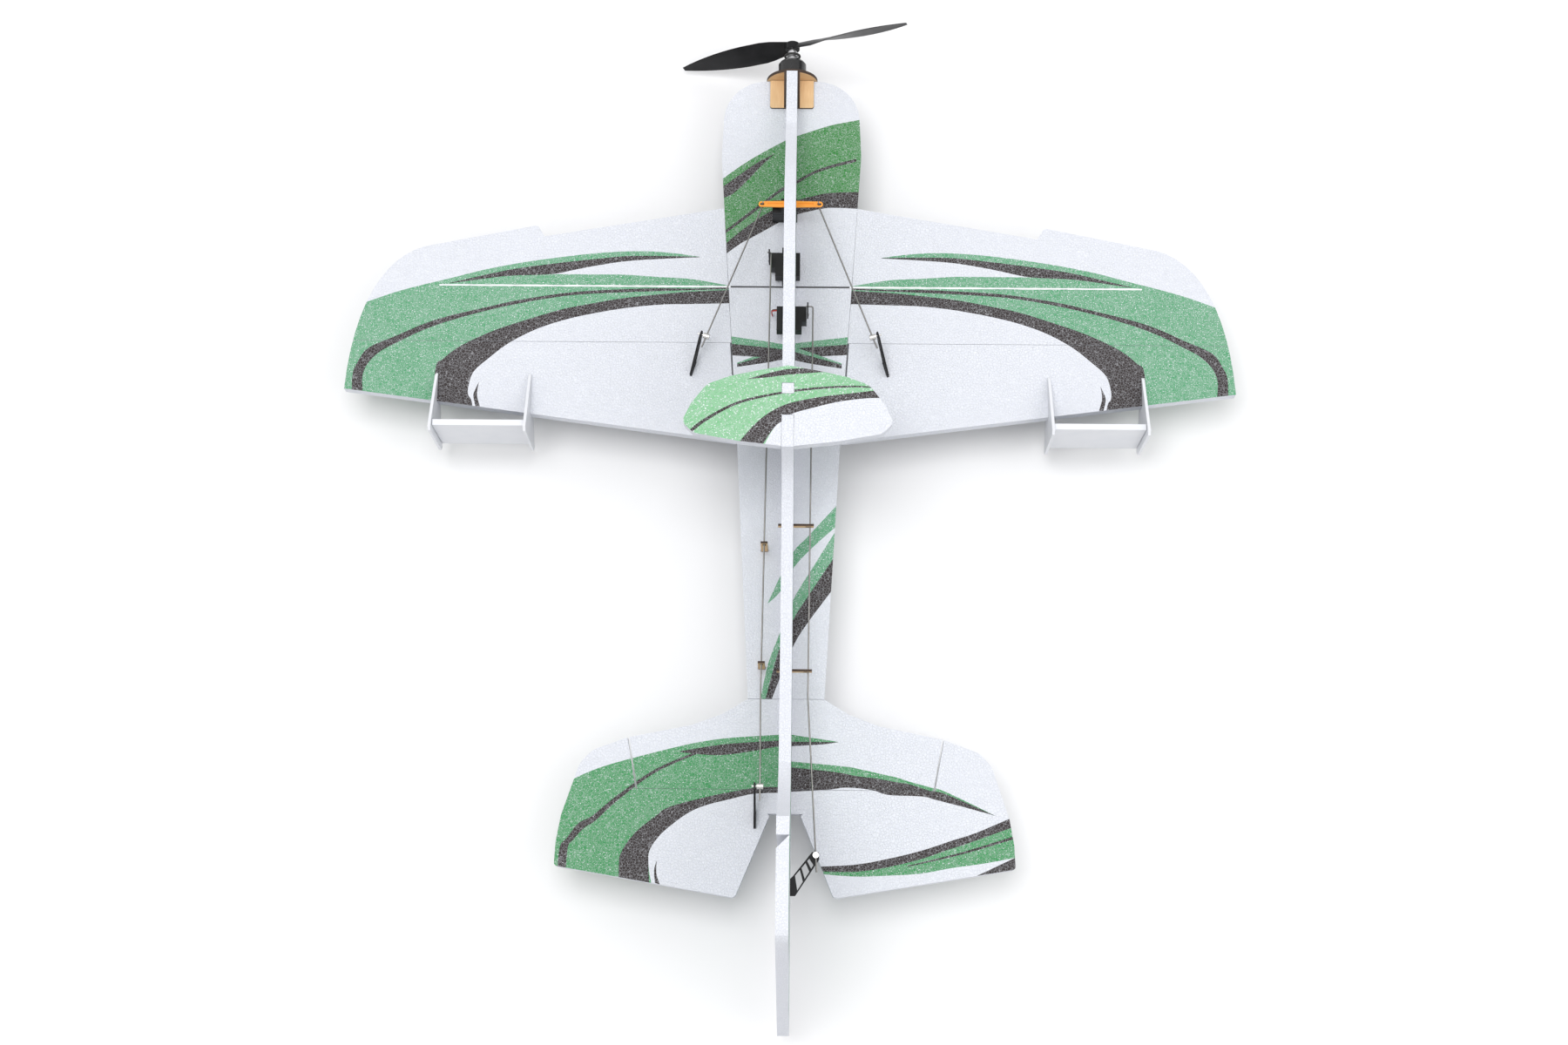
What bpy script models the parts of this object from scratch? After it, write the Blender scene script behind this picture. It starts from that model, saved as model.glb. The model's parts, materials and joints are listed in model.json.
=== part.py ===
"""Radio control aerobatic aeroplane cut from flat foam sheet: an assembly of separate parts.

Metres. X is the right wing, Y is the nose and Z is up. The origin is on the flat of the belly, on the
centreline, straight below the wing spar. Heights in this file are counted from the top face of the flat
fuselage plate, which is why every piece hangs from the "airframe" empty.
"""

import math

import bmesh
import bpy
from mathutils import Matrix, Vector
from mathutils.geometry import delaunay_2d_cdt

# Foam sheet and clearances
FOAM = 0.010
GAP = 0.0003
SURFACE_END_GAP = 0.0015
BELLY_DEPTH = 0.060

# Flat fuselage plate, seen from above
NOSE_Y = 0.205
NOSE_RADIUS = 0.040
NOSE_WIDE_Y = 0.128
NOSE_HALF = 0.0645
WING_TE_HALF = 0.046
TAIL_JOINT_Y = -0.3793
TAIL_JOINT_HALF = 0.033

# Wing
SEMI_SPAN = 0.400
ROOT_LE_Y = 0.0771
ROOT_TE_Y = -0.147
TIP_TE_Y = -0.100
LE_STEP_FROM_TIP = 0.1676
LE_STEP_IN_Y = 0.048
LE_STEP_OUT_Y = 0.0584
LE_STEP_RUN = 0.007
TIP_START_FROM_TIP = 0.065
TIP_START_Y = 0.0375
AILERON_HINGE_Y = -0.054
SPAR_WIDTH = 0.001
SPAR_DEPTH = 0.0036
SPAR_FROM_TIP = 0.081

# Tail
TAIL_SEMI_SPAN = 0.195
TAIL_LE_OUT_Y = -0.4132
BALANCE_CUT_X = 0.1342
BALANCE_CUT_HINGE_X = 0.1263
ELEVATOR_HINGE_Y = -0.4573
ELEVATOR_TE_OUT_Y = -0.523
ELEVATOR_TE_IN_Y = -0.5487
NOTCH_HALF = 0.0128
NOTCH_REAR_HALF = 0.0418
JOINER_DEPTH = 0.021

# Upright fuselage plates, seen from the side
NOSE_TOP = 0.022
SCREEN_FOOT_Y = 0.150
SCREEN_FOOT_Z = 0.028
CANOPY_FRONT_Y = 0.035
CANOPY_TOP = 0.108
DECK_FRONT_Y = -0.245
DECK_LOW = 0.055
FIN_FOOT_Y = -0.445
FIN_FOOT_Z = 0.078
FIN_TOP = 0.196
FIN_TOP_FRONT_Y = -0.503
RUDDER_HINGE_Y = -0.517
RUDDER_TOP_REAR_Y = -0.594
RUDDER_BOTTOM_REAR_Y = -0.661
RUDDER_BOTTOM = -0.035
NOSE_BOTTOM = -0.030
BELLY_FRONT_Y = 0.085
BELLY_REAR_Y = -0.130
JOINER_WINDOW_UP = 0.014
JOINER_WINDOW_DOWN = -0.023
JOINER_WINDOW_ROOM = 0.003

# Small top wing on the canopy
CANALYSER_LE_Y = -0.1165
CANALYSER_TE_Y = -0.1877
CANALYSER_HALF = 0.0885
FRONT_TAB_Y = -0.132
FRONT_TAB_LENGTH = 0.009
REAR_TAB_Y = -0.160

# Air brakes on the ailerons
BRAKE_SHEET = 0.0026
BRAKE_OUTER_FROM_TIP = 0.083
BRAKE_SPACING = 0.084
BRAKE_FRONT_Y = -0.085
BRAKE_REAR_Y = -0.146
BRAKE_UP = 0.026
BRAKE_DOWN = 0.040
BRAKE_PANEL_THICK = 0.0056
BRAKE_PANEL_Y = -0.1345
BRAKE_PANEL_UP = 0.020
BRAKE_PANEL_DOWN = 0.036

# Motor and propeller
THRUST_Z = -0.0045
FIREWALL_RADIUS = 0.0238
FIREWALL_THICK = 0.003
PLY = 0.002
MOUNT_PLATE_LENGTH = 0.028
MOUNT_PLATE_WIDTH = 0.015
CHEEK_HEIGHT = 0.018
MOTOR_RADIUS = 0.013
MOTOR_BASE_LENGTH = 0.004
BELL_LENGTH = 0.0142
SHAFT_RADIUS = 0.0015
SAVER_RADIUS = 0.0045
SAVER_LENGTH = 0.010
RING_RADIUS = 0.0068
RING_WIRE = 0.0011
PROPELLER_RADIUS = 0.1143
PROPELLER_HUB_RADIUS = 0.0068
PROPELLER_HUB_LENGTH = 0.007
PROPELLER_REST_TURN = math.radians(23.5)
PROPELLER_PITCH = 0.119
BLADE_CHORD = 0.026
BLADE_ROOT_CHORD = 0.011
BLADE_THICK = 0.0018

# Servos, all alike
SERVO_LENGTH = 0.0225
SERVO_WIDTH = 0.012
SERVO_HEIGHT = 0.0224
SERVO_CASE_HEIGHT = 0.0043
SERVO_CASE_LENGTH = 0.0145
SERVO_LUG_LENGTH = 0.0322
SERVO_LUG_THICK = 0.002
SERVO_BELOW_LUG = 0.0142
SERVO_SHAFT_FROM_END = 0.0059
SERVO_ROOM = 0.0006
ARM_THICK = 0.0013
ARM_HUB_RADIUS = 0.0035
AILERON_SERVO_Y = 0.069
ELEVATOR_SERVO_Y = 0.021
ELEVATOR_SERVO_Z = 0.010
RUDDER_SERVO_Y = -0.034
RUDDER_SERVO_Z = 0.019
RUDDER_SERVO_INSET = 0.0027

# Linkages
HORN_HEIGHT = 0.021
HORN_REACH = 0.033
HORN_FOOT_FRONT = 0.0185
HORN_SHEET = 0.0016
HORN_HOLE = 0.0024
ROD_DIAMETER = 0.0014
STOPPER_DIAMETER = 0.005
STOPPER_LENGTH = 0.0055
STOPPER_PIN = 0.0016
AILERON_ARM_RADIUS = 0.025
AILERON_ARM_END = 0.029
AILERON_ARM_WIDTH = 0.0065
AILERON_HORN_X = 0.079
AILERON_HORN_YAW = math.radians(17)
TAIL_ARM_RADIUS = 0.021
TAIL_ARM_WIDTH = 0.0052
ARM_SLOT_WIDTH = 0.0024
AILERON_SLOT_OUT = 0.0024
RUDDER_SLOT_OUT = 0.0034
ELEVATOR_HORN_X = -0.0256
RUDDER_ROD_SIDE_ROOM = 0.0031
GUIDE_SHEET = 0.002
GUIDE_WIDTH = 0.006
GUIDE_SLOT_WIDTH = 0.0020
ELEVATOR_GUIDE_Y = (-0.247, -0.352)
RUDDER_GUIDE_Y = (-0.235, -0.362)
ROD_KINK_BEHIND_GUIDE = 0.022

# Radio gear under the plate
BATTERY_SIZE = (0.013, 0.057, 0.030)
BATTERY_Y = 0.134
BATTERY_TOP = -0.016
STRAP_WIDTH = 0.016
STRAP_THICK = 0.0010
SPEED_CONTROLLER_SIZE = (0.007, 0.034, 0.018)
SPEED_CONTROLLER_Y = 0.166
RECEIVER_SIZE = (0.012, 0.036, 0.022)
RECEIVER_Y = 0.030


# ---------------------------------------------------------------- scene and placing

for old in list(bpy.data.objects):
    bpy.data.objects.remove(old, do_unlink=True)


def material(name, colour, roughness, metallic=0.0):
    """A Principled material of one colour."""
    made = bpy.data.materials.new(name)
    made.use_nodes = True
    shader = made.node_tree.nodes["Principled BSDF"]
    shader.inputs["Base Color"].default_value = (*colour, 1.0)
    shader.inputs["Roughness"].default_value = roughness
    shader.inputs["Metallic"].default_value = metallic
    made.diffuse_color = (*colour, 1.0)
    return made


FOAM_WHITE = material("foam_white", (0.86, 0.87, 0.90), 0.75)
CARBON = material("carbon", (0.05, 0.05, 0.055), 0.4)
PLYWOOD = material("plywood", (0.62, 0.42, 0.22), 0.65)
BLACK_PLASTIC = material("black_plastic", (0.02, 0.02, 0.022), 0.45)
WHITE_PLASTIC = material("white_plastic", (0.85, 0.85, 0.86), 0.4)
ORANGE_PLASTIC = material("orange_plastic", (0.85, 0.42, 0.03), 0.4)
STEEL = material("steel", (0.55, 0.55, 0.56), 0.3, 1.0)
ALUMINIUM = material("aluminium", (0.75, 0.75, 0.77), 0.35, 1.0)
MOTOR_BLACK = material("motor_black", (0.03, 0.03, 0.035), 0.35, 0.6)
RUBBER = material("rubber", (0.02, 0.02, 0.02), 0.7)
BATTERY_WRAP = material("battery_wrap", (0.08, 0.12, 0.35), 0.35)
STRAP_FABRIC = material("strap_fabric", (0.04, 0.04, 0.04), 0.9)

pivots = {}


def pivot(name, place, parent="airframe"):
    """An empty on a joint's axis, its place counted from the top face of the flat plate."""
    empty = bpy.data.objects.new(name + "_pivot", None)
    bpy.context.scene.collection.objects.link(empty)
    empty.empty_display_size = 0.01
    if name == "airframe":
        empty.location = place
    else:
        empty.parent = pivots[parent][0]
        empty.location = Vector(place) - pivots[parent][1]
    at = Vector((0, 0, 0)) if name == "airframe" else Vector(place)
    pivots[name] = (empty, at)


def piece(name, shape, finish, body="airframe"):
    """An object of this shape that hangs from the body's pivot."""
    bmesh.ops.recalc_face_normals(shape, faces=shape.faces)
    bmesh.ops.translate(shape, vec=-pivots[body][1], verts=shape.verts)
    mesh = bpy.data.meshes.new(name)
    shape.to_mesh(mesh)
    shape.free()
    mesh.materials.append(finish)
    made = bpy.data.objects.new(name, mesh)
    bpy.context.scene.collection.objects.link(made)
    made.parent = pivots[body][0]
    mesh.shade_smooth()
    mesh.set_sharp_from_angle(angle=math.radians(35))
    return made


def tool(name, shape, body="airframe"):
    """A hidden shape for a Boolean."""
    made = piece(name, shape, FOAM_WHITE, body)
    made.hide_render = True
    made.display_type = "WIRE"
    return made


def boolean(target, other, operation="DIFFERENCE"):
    modifier = target.modifiers.new(operation.lower(), "BOOLEAN")
    modifier.operation = operation
    modifier.object = other
    modifier.solver = "EXACT"


# ---------------------------------------------------------------- flat shapes


def between(value, low, low_result, high, high_result):
    """Straight-line reading between two known pairs."""
    return low_result + (high_result - low_result) * (value - low) / (high - low)


def bezier(p0, p1, p2, p3, steps):
    """Points of a cubic curve after its first end."""
    made = []
    for i in range(1, steps + 1):
        t = i / steps
        s = 1 - t
        weights = (s**3, 3 * s * s * t, 3 * s * t * t, t**3)
        made.append(tuple(sum(w * p[k] for w, p in zip(weights, (p0, p1, p2, p3))) for k in (0, 1)))
    return made


def arc(centre, radius, start, end, steps):
    """Points on an arc, its angles in degrees."""
    made = []
    for i in range(steps + 1):
        angle = math.radians(start + (end - start) * i / steps)
        made.append((centre[0] + radius * math.cos(angle), centre[1] + radius * math.sin(angle)))
    return made


def rounded(points, radii, steps=4):
    """An outline with the corner at each point rounded to its radius, where that isn't zero."""
    made = []
    for i, (point, radius) in enumerate(zip(points, radii)):
        if radius == 0:
            made.append(point)
            continue
        corner = Vector(point)
        back = (Vector(points[i - 1]) - corner).normalized()
        ahead = (Vector(points[(i + 1) % len(points)]) - corner).normalized()
        half = back.angle(ahead) / 2
        reach = radius / math.tan(half)
        start, end = corner + back * reach, corner + ahead * reach
        centre = corner + (back + ahead).normalized() * radius / math.sin(half)
        for k in range(steps + 1):
            spoke = start.lerp(end, k / steps) - centre
            made.append(tuple(centre + spoke.normalized() * radius))
    return made


def rectangle(u0, v0, u1, v1):
    return [(u0, v0), (u1, v0), (u1, v1), (u0, v1)]


def oblong(u0, v0, u1, v1):
    """A slot with round ends, long in u or in v."""
    radius = min(u1 - u0, v1 - v0) / 2
    return rounded(rectangle(u0, v0, u1, v1), [radius * 0.98] * 4, 3)


def mirrored(right):
    """The whole outline from its right half, which runs from front to rear."""
    return right + [(-x, y) for x, y in reversed(right) if abs(x) > 1e-9]


def is_inside(point, loops):
    """Even-odd test of a point against an outline and its holes."""
    inside = False
    for loop in loops:
        for a, b in zip(loop, loop[1:] + loop[:1]):
            if (a[1] > point[1]) != (b[1] > point[1]):
                if point[0] < a[0] + (b[0] - a[0]) * (point[1] - a[1]) / (b[1] - a[1]):
                    inside = not inside
    return inside


def level(u, v, w):
    """A flat plate, seen from above: u is X, v is Y."""
    return Vector((u, v, w))


def upright(u, v, w):
    """A plate along the fuselage, seen from the side: u is Y, v is Z."""
    return Vector((w, u, v))


def crosswise(u, v, w):
    """A plate across the fuselage, seen from the tail: u is X, v is Z."""
    return Vector((u, w, v))


def sheet(outline, holes, low, high, axes, low_shift=None):
    """A closed plate between two levels. low_shift moves the points of its low face, for a bevelled edge."""
    loops = [list(outline)] + [list(hole) for hole in holes]
    points, edges = [], []
    for loop in loops:
        first = len(points)
        points += [Vector(point) for point in loop]
        edges += [(first + i, first + (i + 1) % len(loop)) for i in range(len(loop))]
    places, _, faces, *_ = delaunay_2d_cdt(points, edges, [], 0, 1e-9)
    kept = []
    for face in faces:
        middle = sum((places[i] for i in face), Vector((0, 0))) / len(face)
        if is_inside(middle, loops):
            kept.append(face)
    made = bmesh.new()
    shift = low_shift or (lambda u, v: (u, v))
    upper = [made.verts.new(axes(u, v, high)) for u, v in places]
    lower = [made.verts.new(axes(*shift(u, v), low)) for u, v in places]
    uses = {}
    for face in kept:
        made.faces.new([upper[i] for i in face])
        made.faces.new([lower[i] for i in reversed(face)])
        for a, b in zip(face, face[1:] + face[:1]):
            uses.setdefault(frozenset((a, b)), []).append((a, b))
    for owners in uses.values():
        if len(owners) == 1:
            a, b = owners[0]
            made.faces.new([upper[b], upper[a], lower[a], lower[b]])
    loose = [vert for vert in made.verts if not vert.link_faces]
    bmesh.ops.delete(made, geom=loose, context="VERTS")
    return made


# ---------------------------------------------------------------- round and swept shapes


def box(low, high):
    made = bmesh.new()
    bmesh.ops.create_cube(made, size=1.0)
    size = Vector(high) - Vector(low)
    bmesh.ops.scale(made, vec=size, verts=made.verts)
    bmesh.ops.translate(made, vec=(Vector(high) + Vector(low)) / 2, verts=made.verts)
    return made


def turned(profile, centre, axis, sides=32):
    """A solid turned about an axis. The profile is (distance along the axis, radius) from end to end."""
    made = bmesh.new()
    turn = Vector((0, 0, 1)).rotation_difference(Vector(axis)).to_matrix()
    rings = []
    for along, radius in profile:
        ring = []
        for i in range(sides):
            angle = 2 * math.pi * i / sides
            spoke = Vector((radius * math.cos(angle), radius * math.sin(angle), along))
            ring.append(made.verts.new(Vector(centre) + turn @ spoke))
        rings.append(ring)
    skin(made, rings)
    return made


def skin(made, rings):
    """Walls between rings of equal size, and a cap on each end."""
    for ring, after in zip(rings, rings[1:]):
        for i in range(len(ring)):
            k = (i + 1) % len(ring)
            made.faces.new([ring[i], ring[k], after[k], after[i]])
    made.faces.new(list(reversed(rings[0])))
    made.faces.new(rings[-1])


def bent(points, radius, steps=4):
    """A path with each inner corner rounded."""
    made = [Vector(points[0])]
    for before, corner, after in zip(points, points[1:], points[2:]):
        before, corner, after = Vector(before), Vector(corner), Vector(after)
        start = corner + (before - corner).normalized() * radius
        end = corner + (after - corner).normalized() * radius
        for k in range(steps + 1):
            t = k / steps
            made.append(start * (1 - t) ** 2 + corner * 2 * t * (1 - t) + end * t * t)
    made.append(Vector(points[-1]))
    return made


def wire(points, diameter, sides=8):
    """A round wire along a path."""
    made = bmesh.new()
    rings = []
    side = None
    for i, point in enumerate(points):
        ahead = points[min(i + 1, len(points) - 1)] - points[max(i - 1, 0)]
        ahead.normalize()
        if side is None:
            side = ahead.orthogonal().normalized()
        side = (side - ahead * side.dot(ahead)).normalized()
        other = ahead.cross(side)
        ring = []
        for k in range(sides):
            angle = 2 * math.pi * (k + 0.5) / sides
            spoke = side * math.cos(angle) + other * math.sin(angle)
            ring.append(made.verts.new(point + spoke * diameter / 2))
        rings.append(ring)
    skin(made, rings)
    return made


def ring_solid(centre, axis, radius, thickness, sides=32, wire_sides=8):
    """A ring of round section."""
    made = bmesh.new()
    turn = Vector((0, 0, 1)).rotation_difference(Vector(axis)).to_matrix()
    loops = []
    for i in range(sides):
        angle = 2 * math.pi * i / sides
        out = Vector((math.cos(angle), math.sin(angle), 0))
        loop = []
        for k in range(wire_sides):
            around = 2 * math.pi * k / wire_sides
            reach = out * (radius + thickness * math.cos(around))
            spoke = reach + Vector((0, 0, thickness * math.sin(around)))
            loop.append(made.verts.new(Vector(centre) + turn @ spoke))
        loops.append(loop)
    for loop, after in zip(loops, loops[1:] + loops[:1]):
        for k in range(wire_sides):
            m = (k + 1) % wire_sides
            made.faces.new([loop[k], loop[m], after[m], after[k]])
    return made


# ---------------------------------------------------------------- shared places


def plate_half(y):
    """Half width of the flat fuselage plate."""
    if y > ROOT_TE_Y:
        return between(y, NOSE_WIDE_Y, NOSE_HALF, ROOT_TE_Y, WING_TE_HALF)
    return between(y, ROOT_TE_Y, WING_TE_HALF, TAIL_JOINT_Y, TAIL_JOINT_HALF)


def wing_trailing_y(x):
    return between(abs(x), WING_TE_HALF, ROOT_TE_Y, SEMI_SPAN, TIP_TE_Y)


def leading_edge():
    """Right wing leading edge and tip, from the root to the rear of the tip."""
    step = SEMI_SPAN - LE_STEP_FROM_TIP
    start = (SEMI_SPAN - TIP_START_FROM_TIP, TIP_START_Y)
    middle = (step + start[0]) / 2
    edge = [(plate_half(ROOT_LE_Y) + GAP, ROOT_LE_Y)]
    edge += bezier(edge[0], (0.095, 0.0705), (0.16, 0.060), (step - LE_STEP_RUN, LE_STEP_IN_Y), 5)
    edge += [(step - 0.001, LE_STEP_OUT_Y - 0.0005), (step + 0.002, LE_STEP_OUT_Y)]
    edge += [(middle, between(middle, step, LE_STEP_OUT_Y, *start)), start]
    tip_bow = ((SEMI_SPAN - 0.028, 0.026), (SEMI_SPAN - 0.004, -0.020))
    return edge + bezier(start, *tip_bow, (SEMI_SPAN, TIP_TE_Y), 12)


def cross_at(edge, y):
    """X where a leading edge and tip line passes this Y."""
    for a, b in zip(edge, edge[1:]):
        if a[1] >= y > b[1]:
            return between(y, a[1], a[0], b[1], b[0])
    return edge[-1][0]


BRAKE_CENTRES = (SEMI_SPAN - BRAKE_OUTER_FROM_TIP - BRAKE_SPACING, SEMI_SPAN - BRAKE_OUTER_FROM_TIP)
HALF_FOAM = FOAM / 2
SIDES = (("left", -1), ("right", 1))
AILERON_ARM_Z = GAP + SERVO_HEIGHT + SERVO_CASE_HEIGHT + GAP
AILERON_ROD_Z = AILERON_ARM_Z - 2 * GAP - ROD_DIAMETER / 2
RUDDER_ARM_X = HALF_FOAM + GAP - RUDDER_SERVO_INSET + SERVO_HEIGHT - SERVO_BELOW_LUG + SERVO_CASE_HEIGHT + GAP
RUDDER_ROD_X = RUDDER_ARM_X + ARM_THICK + GAP + ROD_DIAMETER / 2 + RUDDER_ROD_SIDE_ROOM
RUDDER_ROD_Z = RUDDER_SERVO_Z + TAIL_ARM_RADIUS
ELEVATOR_ARM_X = -(HALF_FOAM + GAP + SERVO_HEIGHT - SERVO_BELOW_LUG + SERVO_CASE_HEIGHT + GAP)
ELEVATOR_ROD_X = ELEVATOR_ARM_X + GAP + ROD_DIAMETER / 2
ELEVATOR_ROD_Z = ELEVATOR_SERVO_Z + TAIL_ARM_RADIUS
RUDDER_HORN_X = HALF_FOAM + HORN_HEIGHT

pivot("airframe", (0, 0, BELLY_DEPTH))
pivot("propeller", (0, NOSE_Y, THRUST_Z))
for side, sign in SIDES:
    pivot("aileron_" + side, (sign * SEMI_SPAN / 2, AILERON_HINGE_Y, 0))
    pivot("pushrod_aileron_" + side, (sign * AILERON_HORN_X, AILERON_HINGE_Y, HORN_HEIGHT), "aileron_" + side)
pivot("arm_aileron", (0, AILERON_SERVO_Y, AILERON_ARM_Z))
pivot("elevator", (0, ELEVATOR_HINGE_Y, 0))
pivot("pushrod_elevator", (ELEVATOR_HORN_X, ELEVATOR_HINGE_Y, HORN_HEIGHT), "elevator")
pivot("arm_elevator", (ELEVATOR_ARM_X, ELEVATOR_SERVO_Y, ELEVATOR_SERVO_Z))
pivot("rudder", (HALF_FOAM, RUDDER_HINGE_Y, 0))
pivot("pushrod_rudder", (RUDDER_HORN_X, RUDDER_HINGE_Y, RUDDER_ROD_Z), "rudder")
pivot("arm_rudder", (RUDDER_ARM_X, RUDDER_SERVO_Y, RUDDER_SERVO_Z))


# ---------------------------------------------------------------- flat foam plates


def rod_place(start, end, y):
    """Point of a straight line from start to end at this Y."""
    return Vector(start).lerp(Vector(end), (start[1] - y) / (start[1] - end[1]))


ELEVATOR_KINK_Y = ELEVATOR_GUIDE_Y[1] - ROD_KINK_BEHIND_GUIDE
RUDDER_KINK_Y = RUDDER_GUIDE_Y[1] - ROD_KINK_BEHIND_GUIDE
ELEVATOR_ROD_START = (ELEVATOR_ROD_X, ELEVATOR_SERVO_Y, ELEVATOR_ROD_Z)
ELEVATOR_KINK_Z = between(ELEVATOR_KINK_Y, ELEVATOR_SERVO_Y, ELEVATOR_ROD_Z, ELEVATOR_HINGE_Y, HORN_HEIGHT)
ELEVATOR_ROD_KINK = (ELEVATOR_ROD_X - 0.0045, ELEVATOR_KINK_Y, ELEVATOR_KINK_Z)
RUDDER_ROD_START = (RUDDER_ROD_X, RUDDER_SERVO_Y, RUDDER_ROD_Z)
RUDDER_ROD_KINK = (RUDDER_ROD_X - 0.0022, RUDDER_KINK_Y, RUDDER_ROD_Z)


def guide_post_places():
    return [rod_place(ELEVATOR_ROD_START, ELEVATOR_ROD_KINK, y) for y in ELEVATOR_GUIDE_Y]


def guide_strip_places():
    return [rod_place(RUDDER_ROD_START, RUDDER_ROD_KINK, y) for y in RUDDER_GUIDE_Y]


def slit(x, y, thick, length):
    return rectangle(x - thick / 2 - GAP, y - length / 2 - GAP, x + thick / 2 + GAP, y + length / 2 + GAP)


def fuselage_plate():
    nose_centre_x = NOSE_HALF - NOSE_RADIUS - 0.0015
    right = [(0, NOSE_Y)] + arc((nose_centre_x, NOSE_Y - NOSE_RADIUS), NOSE_RADIUS, 90, 4, 8)
    right += [(NOSE_HALF, NOSE_WIDE_Y), (WING_TE_HALF, ROOT_TE_Y), (TAIL_JOINT_HALF, TAIL_JOINT_Y + GAP)]
    slits = [slit(place.x, place.y, GUIDE_WIDTH, GUIDE_SHEET) for place in guide_post_places()]
    made = piece("fuselage_plate", sheet(mirrored(right), slits, -FOAM, 0, level), FOAM_WHITE)
    return made


def wing_panels():
    made = []
    edge = leading_edge()
    hinge = AILERON_HINGE_Y + GAP / 2
    for side, sign in SIDES:
        outline = [point for point in edge if point[1] > hinge]
        outline += [(cross_at(edge, hinge), hinge), (plate_half(hinge) + GAP, hinge)]
        outline = [(sign * x, y) for x, y in outline]
        made.append(piece("wing_" + side, sheet(outline, [], -FOAM, 0, level), FOAM_WHITE))
    return made


def spar_and_groove(plates):
    """A flat carbon strip on edge in a groove across the plate and both wing panels."""
    half = SEMI_SPAN - SPAR_FROM_TIP
    low = (-half - GAP, -SPAR_WIDTH / 2 - GAP, -SPAR_DEPTH - 2 * GAP)
    groove = tool("spar_groove_cutter", box(low, (half + GAP, SPAR_WIDTH / 2 + GAP, FOAM / 2)))
    for plate in plates:
        boolean(plate, groove)
    strip = box((-half, -SPAR_WIDTH / 2, -SPAR_DEPTH - GAP), (half, SPAR_WIDTH / 2, -GAP))
    piece("wing_spar", strip, CARBON)


def horn_slot(x, y, yaw):
    """Slot in a hinged surface for a horn's foot, which lies behind the horn's tip hole at (x, y)."""
    turn = Matrix.Rotation(yaw, 2)
    half = HORN_SHEET / 2 + GAP
    back, front = -HORN_REACH - GAP, -HORN_FOOT_FRONT
    corners = [(-half, back), (half, back), (half, front), (-half, front)]
    return [tuple(Vector((x, y)) + turn @ Vector(corner)) for corner in corners]


def ailerons():
    edge = leading_edge()
    hinge = AILERON_HINGE_Y - GAP / 2
    for side, sign in SIDES:
        outline = [(plate_half(hinge) + SURFACE_END_GAP, hinge), (cross_at(edge, hinge), hinge)]
        outline += [point for point in edge if point[1] < hinge - 0.002]
        outline.append((WING_TE_HALF + SURFACE_END_GAP, wing_trailing_y(WING_TE_HALF)))
        outline = [(sign * x, y) for x, y in outline]
        slots = [horn_slot(sign * AILERON_HORN_X, AILERON_HINGE_Y, sign * AILERON_HORN_YAW)]

        def back(u, v):
            return (u, v - FOAM) if v > hinge - 1e-6 else (u, v)

        shape = sheet(outline, slots, -FOAM, 0, level, back)
        piece("aileron_" + side, shape, FOAM_WHITE, "aileron_" + side)


def tail_leading_edge():
    """Right half of the tailplane and elevator leading edge, from the fuselage to the balance cut."""
    middle = [(0.0546, -0.3925), (0.0807, -0.4023)]
    return [(TAIL_JOINT_HALF, TAIL_JOINT_Y)] + middle + [(BALANCE_CUT_X, TAIL_LE_OUT_Y)]


def tailplane():
    hinge = ELEVATOR_HINGE_Y + GAP / 2
    right = [(0, TAIL_JOINT_Y)] + tail_leading_edge() + [(BALANCE_CUT_HINGE_X, hinge), (0, hinge)]
    outline = right[:-1] + [(-x, y) for x, y in reversed(right[1:-1])]
    piece("tailplane", sheet(outline, [], -FOAM, 0, level), FOAM_WHITE)


def elevator():
    hinge = ELEVATOR_HINGE_Y - GAP / 2
    notch_y = ELEVATOR_HINGE_Y - JOINER_DEPTH
    cut = SURFACE_END_GAP
    out = TAIL_SEMI_SPAN
    tip = [
        (BALANCE_CUT_X + cut, TAIL_LE_OUT_Y - 0.0004),
        (out - 0.0294, -0.4246),
        (out - 0.0190, -0.4357),
        (out - 0.0045, -0.4806),
        (out - 0.0008, -0.503),
        (out, ELEVATOR_TE_OUT_Y),
        (NOTCH_REAR_HALF, ELEVATOR_TE_IN_Y),
        (NOTCH_HALF, notch_y),
    ]
    radii = [0, 0, 0.02, 0.02, 0, 0, 0.003, 0.004, 0.002]
    tip = rounded([(BALANCE_CUT_HINGE_X + cut, hinge)] + tip, radii, 3)
    outline = tip + [(-x, y) for x, y in reversed(tip)]
    slots = [horn_slot(ELEVATOR_HORN_X, ELEVATOR_HINGE_Y, 0)]

    def back(u, v):
        return (u, v - FOAM) if abs(v - hinge) < 1e-6 else (u, v)

    piece("elevator", sheet(outline, slots, -FOAM, 0, level, back), FOAM_WHITE, "elevator")


def canalyser():
    """The small top wing, which drops over two tabs of the canopy."""
    half = CANALYSER_HALF
    front, rear = CANALYSER_LE_Y, CANALYSER_TE_Y
    right = [(0, front), (0.025, front - 0.0045), (0.049, front - 0.0098), (0.068, front - 0.0170)]
    right += [(half - 0.0075, front - 0.034), (half, front - 0.050), (half - 0.0100, rear + 0.0115)]
    right += [(0.042, rear + 0.0048)]
    right = rounded(right, [0, 0, 0.02, 0.014, 0.012, 0.006, 0.010, 0], 3)
    slot_half = HALF_FOAM + GAP
    right += [(slot_half, rear + 0.0006), (slot_half, REAR_TAB_Y + GAP)]
    outline = right + [(-x, y) for x, y in reversed(right) if x > 0]
    tab = rectangle(-slot_half, FRONT_TAB_Y - FRONT_TAB_LENGTH - GAP, slot_half, FRONT_TAB_Y + GAP)
    low = CANOPY_TOP + GAP
    piece("canalyser_plate", sheet(outline, [tab], low, low + FOAM, level), FOAM_WHITE)


# ---------------------------------------------------------------- upright foam plates


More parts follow.
